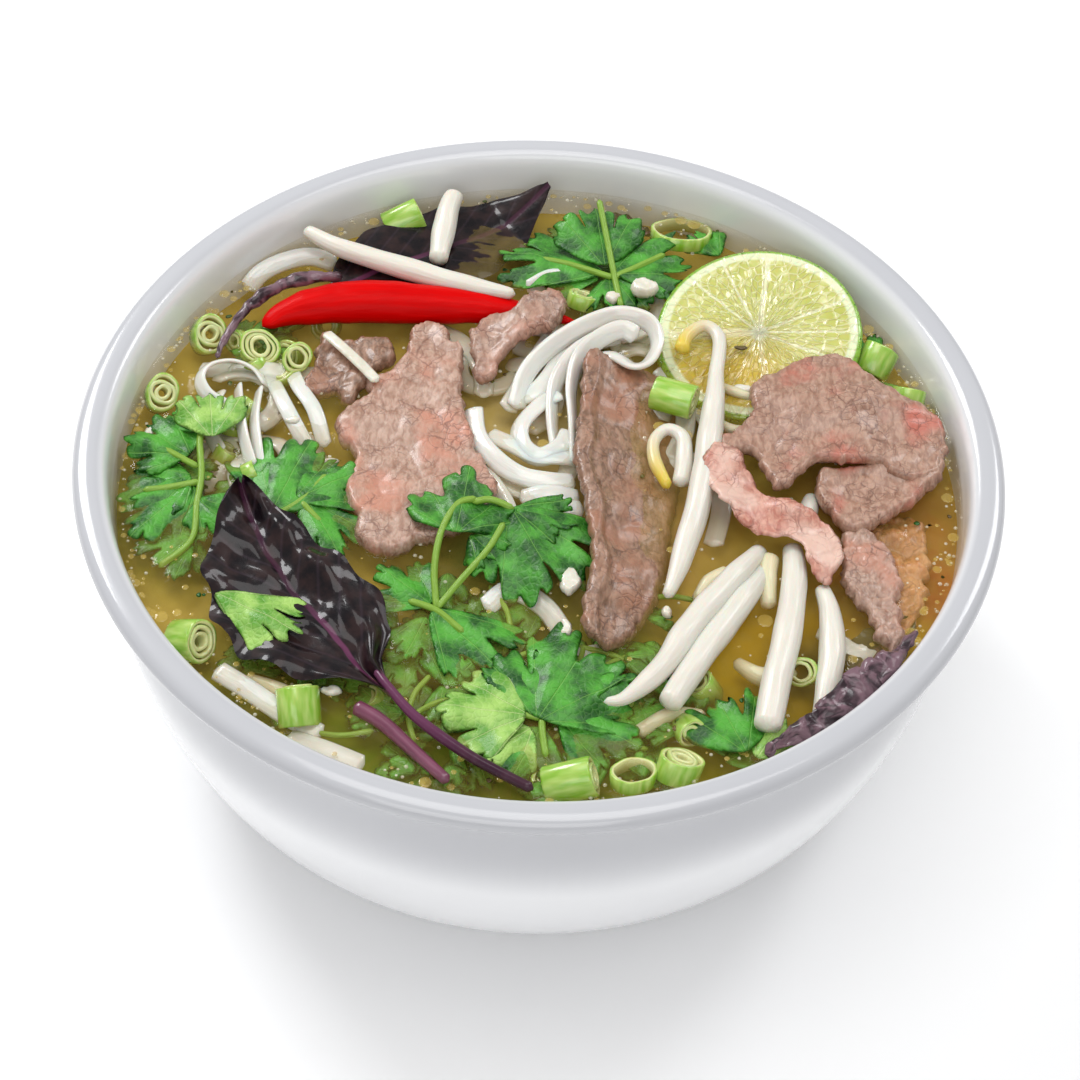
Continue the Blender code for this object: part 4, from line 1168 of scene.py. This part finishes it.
# Each has a route, its radii from end to end, and how far the first end is yellow.
for k, (name, node, head, radii, route) in enumerate([
        ("sprout_long_back", "sprout_back_long", 0, [1.5, 2.3, 2.7, 2.8, 2.3, 1.3],
         [(-58, 70, 74.4), (-52, 66, 74.3), (-44, 62.5, 74.2), (-29, 57.5, 73.8),
          (-17, 54.2, 73.8), (-8, 52, 74)]),
        ("sprout_short_back", "sprout_back_short", 0, [2.2, 2.8, 2.7, 2.2],
         [(-22.6, 85, 74.8), (-24, 79, 74.2), (-24.8, 71, 73.6), (-25.5, 62.5, 73)]),
        ("sprout_long_middle", "sprout_middle_long", 12,
         [1.9, 1.5, 1.5, 1.8, 2.5, 2.9, 3.0, 2.9, 2.7, 2.2, 1.2],
         [(29.5, 33, 73.6), (31, 38, 73.8), (35, 41.8, 73.8), (38.2, 38, 73.6), (37.6, 27, 73.4),
          (36.4, 12, 73), (34.6, -4, 72.6), (32, -18, 72.2), (28, -33, 71.8), (26.5, -37, 71.4)]),
        ("sprout_curled", "sprout_curl", 14, [1.2, 1.6, 1.4, 1.4, 1.7, 2.0, 2.0],
         [(28.5, -3, 69.8), (25.2, 3, 70.8), (25, 9.5, 71), (28, 13, 71.2), (31.4, 10.5, 71),
          (31.6, 4, 70.6), (31, -2, 69.4)]),
        ("sprout_pair_first", "sprout_pair_left", 0, [1.9, 2.7, 3.0, 3.0, 2.4, 0.8],
         [(47, -16, 66.6), (42, -25, 69.8), (33, -39, 71.2), (25.5, -53, 71.6),
          (18.5, -61, 72), (14, -62.5, 72)]),
        ("sprout_pair_second", "sprout_pair_right", 0, [1.9, 2.7, 3.0, 2.9, 2.5],
         [(50.5, -20, 66.4), (46, -30, 69.4), (38, -45, 70.8), (29.5, -62, 71.4)]),
        ("sprout_single_right", "sprout_right", 0, [2.2, 2.8, 3.1, 3.1, 2.9],
         [(54.5, -16, 68), (54.4, -27, 70), (52.6, -42, 71), (50, -55, 71.2), (47.6, -67, 71.2)]),
        ("sprout_stub", "sprout_right_stub", 0, [1.6, 2.3, 2.2],
         [(60, -2, 69.2), (59, -7, 69.6), (58, -11, 69.4)]),
        ("sprout_at_far_right", "sprout_far_right", 0, [1.6, 2.4, 2.7, 2.6, 1.8],
         [(60, -28, 69), (61.4, -36, 69.6), (61.4, -46, 69.8), (59.5, -58, 69.4),
          (58.5, -63, 68.6)])]):
    points, faces, places = swept(seat(node, route), radii, [0.94 * r for r in radii], sides=20,
                                  blunt=1.2)
    points = points + [0.35 * noise.noise_vector(Vector(p) * 0.12 + Vector((k + 1, 0, 0)))
                       for p in points]
    piece = made_of(name, points, faces, sprout_finish, places)
    run = places[:, 0]
    keep(piece, "yellow", np.clip(1.2 - run / head, 0, 1) if head else np.zeros(len(run)))
    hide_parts(node)

# Loose roots, heads and sprouts that have sunk.
pile = Pile()
for radii, route in [
        ([0.7, 1.2, 0.8], [(38, 30, 0.6), (43, 27, 1.0), (48, 25.5, 0.6)]),
        ([2.2, 2.4, 1.6], [(50, -20, -0.6), (49, -26, -0.4), (49.5, -34, -0.8)]),
        ([1.2, 2.2, 1.2], [(42, -48, -1.6), (48, -52, -1.4), (55, -50, -1.8)]),
        ([1.2, 1.8, 1.2], [(41, -24, -0.8), (37, -28, -0.4), (34, -33, -1.0)]),
        ([0.7, 1.3, 0.9], [(38, 20, -0.2), (42, 16, 0.3), (47, 17, -0.4)]),
        ([1.0, 2.0, 1.2], [(-58, -58, -1.8), (-50, -62, -1.2), (-42, -67, -1.8)]),
        ([1.5, 1.6, 0.8], [(22, -68, -1.2), (29, -63, -0.8), (36, -62, -1.4)])]:
    pile.add(*swept([(x, y, LEVEL + z) for x, y, z in route], radii, radii, sides=14, blunt=1.0))
loose = pile.done("loose_sprout_ends", sprout_finish, "bean_sprout")
keep(loose, "yellow", [0.35] * len(loose.data.vertices))


# --- Scallions -------------------------------------------------------------
# Scallions cut across: short lengths and rings of thin layers, one inside the
# other, light green and streaked outside and paler within.

scallion_finish = Finish("scallion", Roughness=0.25, Coat_Weight=0.6, Coat_Roughness=0.1,
                         Subsurface_Weight=0.15, Subsurface_Scale=0.003)
where = scallion_finish.place()
streak = scallion_finish.noise(scallion_finish.scaled(where, 0.12, 0.45, 0.45), 1.0, 2.0)
green = scallion_finish.mix(scallion_finish.step(streak, 0.3, 0.7), tone(126, 178, 34),
                            tone(182, 208, 110))
inner = scallion_finish.step(scallion_finish.axis(where, "Z"), 0.1, 0.9)
colour = scallion_finish.mix(inner, green, tone(212, 214, 152))
scallion_finish.give(Base_Color=soaked(scallion_finish, colour, 4.0, tone(128, 134, 44)),
                     Normal=scallion_finish.bump(streak, 0.15, 0.6))


def scallion(pile, place, heading, lean, radius, length, layers, seed, steps=36):
    """Nested tubes about one axis, each a little off round; layers are wall thicknesses."""
    rng = random.Random(seed)
    turn, tip = math.radians(heading), math.radians(lean)
    axis = np.array([math.cos(turn) * math.cos(tip), math.sin(turn) * math.cos(tip), math.sin(tip)])
    across = np.array([-math.sin(turn), math.cos(turn), 0])
    up = np.cross(axis, across)
    for order, wall in enumerate(layers):
        push, phase = rng.uniform(0.04, 0.12), rng.uniform(0, math.tau)
        shift = rng.uniform(-0.4, 0.4) * (order > 0)
        points, places = [], []
        section = [(radius - 0.15, -0.5), (radius, -0.46), (radius, 0.0), (radius, 0.46),
                   (radius - 0.15, 0.5), (radius - wall + 0.15, 0.5), (radius - wall, 0.46),
                   (radius - wall, -0.46), (radius - wall + 0.15, -0.5)]
        for r, h in section:
            for i in range(steps):
                a = math.tau * i / steps
                off = 1 + push * math.cos(2 * a + phase) + 0.02 * math.cos(5 * a)
                spoke = across * math.cos(a) + up * math.sin(a)
                points.append(np.array(place) + spoke * r * off + axis * (h * length + shift))
                places.append((h * length + 20 * order, a * radius,
                               min(1.0, order * 0.5 + (r < radius - wall * 0.5))))
        last = (len(section) - 1) * steps
        faces = grid_faces(len(section), steps)
        faces += [(last + i, last + (i + 1) % steps, (i + 1) % steps, i) for i in range(steps)]
        pile.add(np.array(points), faces, places)
        radius -= wall + 0.15


for name, node, heading, lean, radius, length, layers in [
        ("scallion_length_by_beef", "scallion_by_beef", -20, 3, 3.7, 9.5, (0.9, 0.8, 0.7)),
        ("scallion_by_the_chilli", "scallion_by_chilli", -90, 52, 4.3, 3.4, (0.8, 0.8, 0.8)),
        ("scallion_small_ring", "scallion_ring_left", -70, 50, 3.4, 2.8, (0.8, 0.8)),
        ("scallion_at_far_left", "scallion_far_left", -55, 48, 4.2, 5.0, (0.9, 0.9, 0.9)),
        ("scallion_at_left_rim", "scallion_left_rim", -60, 52, 4.0, 4.6, (0.9, 0.9, 0.9)),
        ("scallion_low_left", "scallion_lower_left", -30, 34, 4.3, 8.0, (0.9, 0.9, 0.9)),
        ("scallion_under_leaf", "scallion_below_leaf", 100, 35, 4.3, 8.0, (0.9, 0.9, 0.9)),
        ("scallion_ring_front", "scallion_front_ring", 90, 72, 4.6, 3.0, (0.8,)),
        ("scallion_round_front", "scallion_front_round", 60, 60, 4.4, 5.0, (0.9, 0.9, 1.2)),
        ("scallion_at_front_rim", "scallion_front_rim", 5, 20, 4.0, 10, (0.9, 0.9, 0.9)),
        ("scallion_at_right_rim", "scallion_right_rim", 60, 35, 4.2, 7.0, (0.9, 0.9, 0.9)),
        ("scallion_low_right", "scallion_right_low", 80, 40, 4.0, 6.0, (0.9, 0.9)),
        ("scallion_ring_back", "scallion_back_ring", 60, 60, 3.6, 3.4, (0.9, 0.9)),
        ("scallion_length_back", "scallion_back_left", 20, 20, 3.8, 9.0, (0.9, 0.9, 0.9)),
        ("scallion_ring_wide", "scallion_back_wide", 80, 68, 7.4, 3.0, (0.9,))]:
    pile = Pile()
    place = home(node) + (0, 0, 0.6 if node == "scallion_by_beef" else 0)
    scallion(pile, place, heading, lean, radius, length, layers, seed=len(name))
    piece = pile.done(name, scallion_finish, "scallion")
    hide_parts(node)

# More rings hang just under the surface, mostly along the front and the left.
pile = Pile()
rng = random.Random(12)
for _ in range(34):
    a = rng.choice([rng.uniform(3.0, 5.6), rng.uniform(2.3, 3.3), rng.uniform(0.2, 0.9)])
    far = rng.uniform(60, 85)
    spot = (far * math.cos(a), far * math.sin(a), LEVEL - rng.uniform(1.0, 4.5))
    scallion(pile, spot, rng.uniform(0, 360), rng.uniform(20, 80), rng.uniform(2.6, 4.2),
             rng.uniform(2.5, 6), (0.8, 0.8), seed=rng.randrange(99))
pile.done("sunk_scallions", scallion_finish, "scallion")


# --- Surface of the broth ------------------------------------------------------
# The broth's skin is clear and still.  It climbs a little up the wall and up
# everything that comes through it, and carries drops of fat and small bubbles.

skin_finish = Finish("broth_surface", Roughness=0.05, IOR=1.33, Specular_IOR_Level=0.9,
                     Coat_Weight=0.6, Coat_Roughness=0.03)
where = skin_finish.place()
film = skin_finish.noise(where, 0.12, 4.0, 0.8)
skin_finish.give(Base_Color=skin_finish.mix(film, tone(172, 142, 54), tone(204, 180, 92)),
                 Alpha=0.03 + 0.2 * film,
                 Normal=skin_finish.bump(skin_finish.noise(where, 0.35, 2.0), 0.5, 0.35))

shore = []
for thing in bpy.data.objects:
    food = thing.type == "MESH" and "place" in thing.data.attributes
    if not food or thing in (bowl, depths):
        continue
    spots = np.empty(len(thing.data.vertices) * 3)
    thing.data.vertices.foreach_get("co", spots)
    spots = spots.reshape(-1, 3) / MM
    shore.append(spots[np.abs(spots[:, 2] - LEVEL) < 0.5, :2])
shore = np.vstack(shore)
near_shore = kdtree.KDTree(len(shore))
for i, (x, y) in enumerate(shore):
    near_shore.insert((x, y, 0), i)
near_shore.balance()

edge_radius = wall_radius(LEVEL)
points, faces = disc(edge_radius + 0.5, LEVEL, 130, 420)
for p in points:
    gap = near_shore.find((p[0], p[1], 0))[2]
    to_wall = edge_radius - math.hypot(p[0], p[1])
    p[2] += 0.55 * math.exp(-gap / 0.8) + 0.9 * math.exp(-max(0.0, to_wall) / 1.2)
    p[2] += 0.08 * noise.noise(Vector((p[0] * 0.1, p[1] * 0.1, 2)))
skin = made_of("broth_skin", points, faces, skin_finish)
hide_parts("broth")


def clear(name, scale, dark, light, varies, **sockets):
    """A clear finish, whose colour and alpha vary together."""
    made = Finish(name, **sockets)
    cloud = made.noise(made.place(), scale, 2.0)
    made.give(Base_Color=made.mix(cloud, tone(*dark), tone(*light)), Alpha=0.34 + varies * cloud)
    return made


fat_finish = clear("drops_of_fat", 0.2, (196, 160, 40), (226, 204, 120), 0.2, Roughness=0.06,
                   IOR=1.47, Coat_Weight=0.8, Coat_Roughness=0.03)
bubble_finish = clear("bubbles", 0.6, (226, 216, 170), (250, 248, 236), 0.3, Roughness=0.04,
                      IOR=1.33, Coat_Weight=1.0, Coat_Roughness=0.02)


def dome(pile, x, y, radius, height, rings=4, steps=14):
    """Drops of fat are low lenses, and bubbles are higher domes."""
    points = [(x + radius * math.cos(u) * math.cos(a), y + radius * math.cos(u) * math.sin(a),
               LEVEL + 0.02 + height * math.sin(u))
              for u in np.linspace(0, 1.5, rings) for a in np.linspace(0, math.tau, steps, False)]
    faces = grid_faces(rings, steps) + [tuple(range((rings - 1) * steps, rings * steps))]
    pile.add(np.array(points), faces)


# Both gather where things stop them.
rng = random.Random(77)
drops, bubbles = Pile(), Pile()
for kind, count in ((drops, 620), (bubbles, 520)):
    made = 0
    while made < count:
        a, far = rng.uniform(0, math.tau), edge_radius * math.sqrt(rng.random())
        if rng.random() < 0.4:
            far = edge_radius - rng.expovariate(0.35) - 1
        x, y = far * math.cos(a), far * math.sin(a)
        gap = near_shore.find((x, y, 0))[2]
        edge_gap = min(gap, edge_radius - far)
        size = min(2.6, rng.expovariate(2.2) + 0.25) if kind is drops else rng.uniform(0.18, 0.5)
        crowded = rng.random() < math.exp(-edge_gap / 3.0) + 0.04
        if edge_gap > size and crowded:
            dome(kind, x, y, size, 0.1 * size ** 0.5 if kind is drops else size * 0.7)
            made += 1
drops.done("fat_drops", fat_finish, "broth")
bubbles.done("small_bubbles", bubble_finish, "broth")


# --- Small bits --------------------------------------------------------------
# Scraps that came with the rest: chips of garlic, a pale strip of onion on the
# beef, flecks of herb and pepper afloat, and torn leaf beside the lime.

chip_finish = Finish("garlic_chips", Roughness=0.25, Coat_Weight=0.6, Coat_Roughness=0.08,
                     Subsurface_Weight=0.2, Subsurface_Scale=0.003)
where = chip_finish.place()
speck = chip_finish.noise(where, 0.5, 3.0)
colour = chip_finish.mix(speck, tone(196, 188, 160), tone(236, 234, 226))
chip_finish.give(Base_Color=soaked(chip_finish, colour, 4.0),
                 Normal=chip_finish.bump(speck, 0.5, 0.6))


def chip(pile, x, y, height, size, seed, thick=1.2):
    """A small lump with a wavy outline."""
    rng = random.Random(seed)
    outline = [(x + size[0] * rng.uniform(0.7, 1.1) * math.cos(a),
                y + size[1] * rng.uniform(0.7, 1.1) * math.sin(a))
               for a in np.linspace(0, math.tau, 8, False)]
    pile.add(*slab(outline, LEVEL + height, thick, 0.5, 0.5, 0.2, seed=seed,
                   relief=lambda flat, gap: 0.4 * rolling(flat, 0.6, seed)))


pile = Pile()
for k, (x, y, height, size, thick) in enumerate([
        (7.5, -31, 0.2, (2.4, 3.8), 2.4), (7, -44, 0.4, (1.6, 2.6), 2.0),
        (45, 28, 0.3, (3.6, 1.2), 1.4), (-62, -40, -0.4, (2.4, 1.4), 1.6),
        (28, -38, 0.3, (1.2, 2.0), 1.6), (-55, 12, -0.2, (1.8, 1.2), 1.4),
        (22, 57, 1.6, (3.6, 2.6), 3.0), (15, 55, 0.4, (2.6, 2.0), 2.2),
        (-86, 6, 0, (1.2, 2.4), 1.2), (-40, -62, -0.5, (2.6, 1.4), 1.4),
        (58, -66, -0.6, (2.0, 1.4), 1.4), (-21, 50, 0.2, (1.4, 1.0), 1.2)]):
    chip(pile, x, y, height, size, k, thick)
beef_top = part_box("beef_small")[1].z / MM
strip = home("beef_small")[:2]
pile.add(*swept([(*(strip + p), beef_top + z) for p, z in
                 [((-6, 8), 1.6), ((-2, 3.5), 2.1), ((3, -2), 2.0), ((7, -6.5), 1.4)]],
                1.3, 0.5, box=0.6, blunt=0.5))
pile.done("garlic_and_onion", chip_finish, "bean_sprout")

fleck_finish = Finish("herb_flecks", Roughness=0.4, Coat_Weight=0.3)
where = fleck_finish.place()
hue = fleck_finish.noise(where, 0.15, 1.0)
fleck_finish.give(Base_Color=fleck_finish.mix(fleck_finish.step(hue, 0.4, 0.6),
                                              tone(28, 92, 14), tone(86, 66, 22)))
pile = Pile()
rng = random.Random(5)
for _ in range(90):
    a, far = rng.uniform(0, math.tau), edge_radius * math.sqrt(rng.random()) * 0.99
    x, y = far * math.cos(a), far * math.sin(a)
    size = rng.uniform(0.25, 0.7)
    outline = [(x + size * rng.uniform(0.6, 1.4) * math.cos(b),
                y + size * rng.uniform(0.6, 1.4) * math.sin(b))
               for b in np.linspace(0, math.tau, 6, False)]
    pile.add(*slab(outline, LEVEL - 0.05, 0.2, 0.4, 0.2))
chip(pile, -40, 49, 1.0, (1.0, 0.7), 3, 0.6)
chip(pile, lime_middle[0] - 4, lime_middle[1] - 5, 3.4, (1.8, 0.9), 8, 0.5)
pile.done("herb_flecks", fleck_finish, "coriander")

pile = Pile()
for base, tip, spread, low in [((67, 44), (58, 60), 84, 1.2), ((74, 38), (70, 50), 84, 0.2),
                               ((82, 32), (74, 29), 90, -0.8), ((40, 72), (34, 82), 90, 0.2)]:
    leaflet(pile, base, tip, spread, low, 0.05, 1.0, seed=4)
pile.done("torn_leaves_by_lime", fresh, "coriander")


# --- Table, light and camera -------------------------------------------------
# A pale table, a window's soft light from behind on the left, and a viewer who
# sits at the front and looks down at the bowl.

floor_finish = Finish("pale_table", Roughness=0.6)
cloud = floor_finish.noise(floor_finish.place(), 0.01, 2.0)
floor_finish.give(Base_Color=floor_finish.mix(cloud, tone(246, 246, 247), tone(252, 252, 252)))
REACH = 4000.0
table_mesh = bpy.data.meshes.new("table")
table_mesh.from_pydata([(x * REACH * MM, y * REACH * MM, -0.2 * MM)
                        for x, y in ((-1, -1), (1, -1), (1, 1), (-1, 1))], [], [(0, 1, 2, 3)])
table_mesh.materials.append(floor_finish.material)
table = bpy.data.objects.new("table", table_mesh)
bpy.context.scene.collection.objects.link(table)

# Soft square lights that face the bowl: place and size in millimetres, watts, colour.
for name, place, size, power, colour in [
        ("window_back_left", (-560, 620, 760), (360, 380), 5.8, (0.98, 0.99, 1.0)),
        ("window_back_right", (600, 560, 760), (260, 380), 2.2, (0.98, 0.99, 1.0)),
        ("overhead", (20, 60, 1250), (800, 700), 5.0, (1.0, 0.995, 0.98)),
        ("front_fill", (-100, -900, 800), (900, 700), 3.9, (1.0, 1.0, 1.0))]:
    data = bpy.data.lights.new(name, "AREA")
    data.shape = "RECTANGLE"
    data.size, data.size_y = size[0] * MM, size[1] * MM
    data.energy = power
    data.color = colour
    lamp = bpy.data.objects.new(name, data)
    lamp.location = Vector(place) * MM
    lamp.rotation_mode = "QUATERNION"
    toward = Vector((0, 0, LEVEL * MM)) - lamp.location
    lamp.rotation_quaternion = toward.to_track_quat("-Z", "Y")
    bpy.context.scene.collection.objects.link(lamp)

world = bpy.data.worlds.new("studio")
world.use_nodes = True
backdrop = world.node_tree.nodes["Background"].inputs
backdrop["Color"].default_value = (1.0, 1.0, 1.0, 1.0)
backdrop["Strength"].default_value = 0.46
bpy.context.scene.world = world
bpy.context.scene.view_settings.view_transform = "Standard"

EYE_DISTANCE = 550.0  # from the middle of the rim
EYE_HEIGHT = math.radians(46.957)
AIM = (0.79, -28.38)  # where the middle of the view falls in the rim's plane
ROLL = math.radians(2.866)
eye = Vector((0, -math.cos(EYE_HEIGHT), math.sin(EYE_HEIGHT))) * EYE_DISTANCE
eye.z += HEIGHT
camera_data = bpy.data.cameras.new("camera")
camera_data.sensor_width = 36.0
camera_data.lens = 85.22
camera = bpy.data.objects.new("camera", camera_data)
camera.rotation_mode = "QUATERNION"
camera.location = eye * MM
facing = (Vector((*AIM, HEIGHT)) - eye).to_track_quat("-Z", "Y")
camera.rotation_quaternion = facing @ Quaternion((0, 0, 1), ROLL)
bpy.context.scene.collection.objects.link(camera)
bpy.context.scene.camera = camera
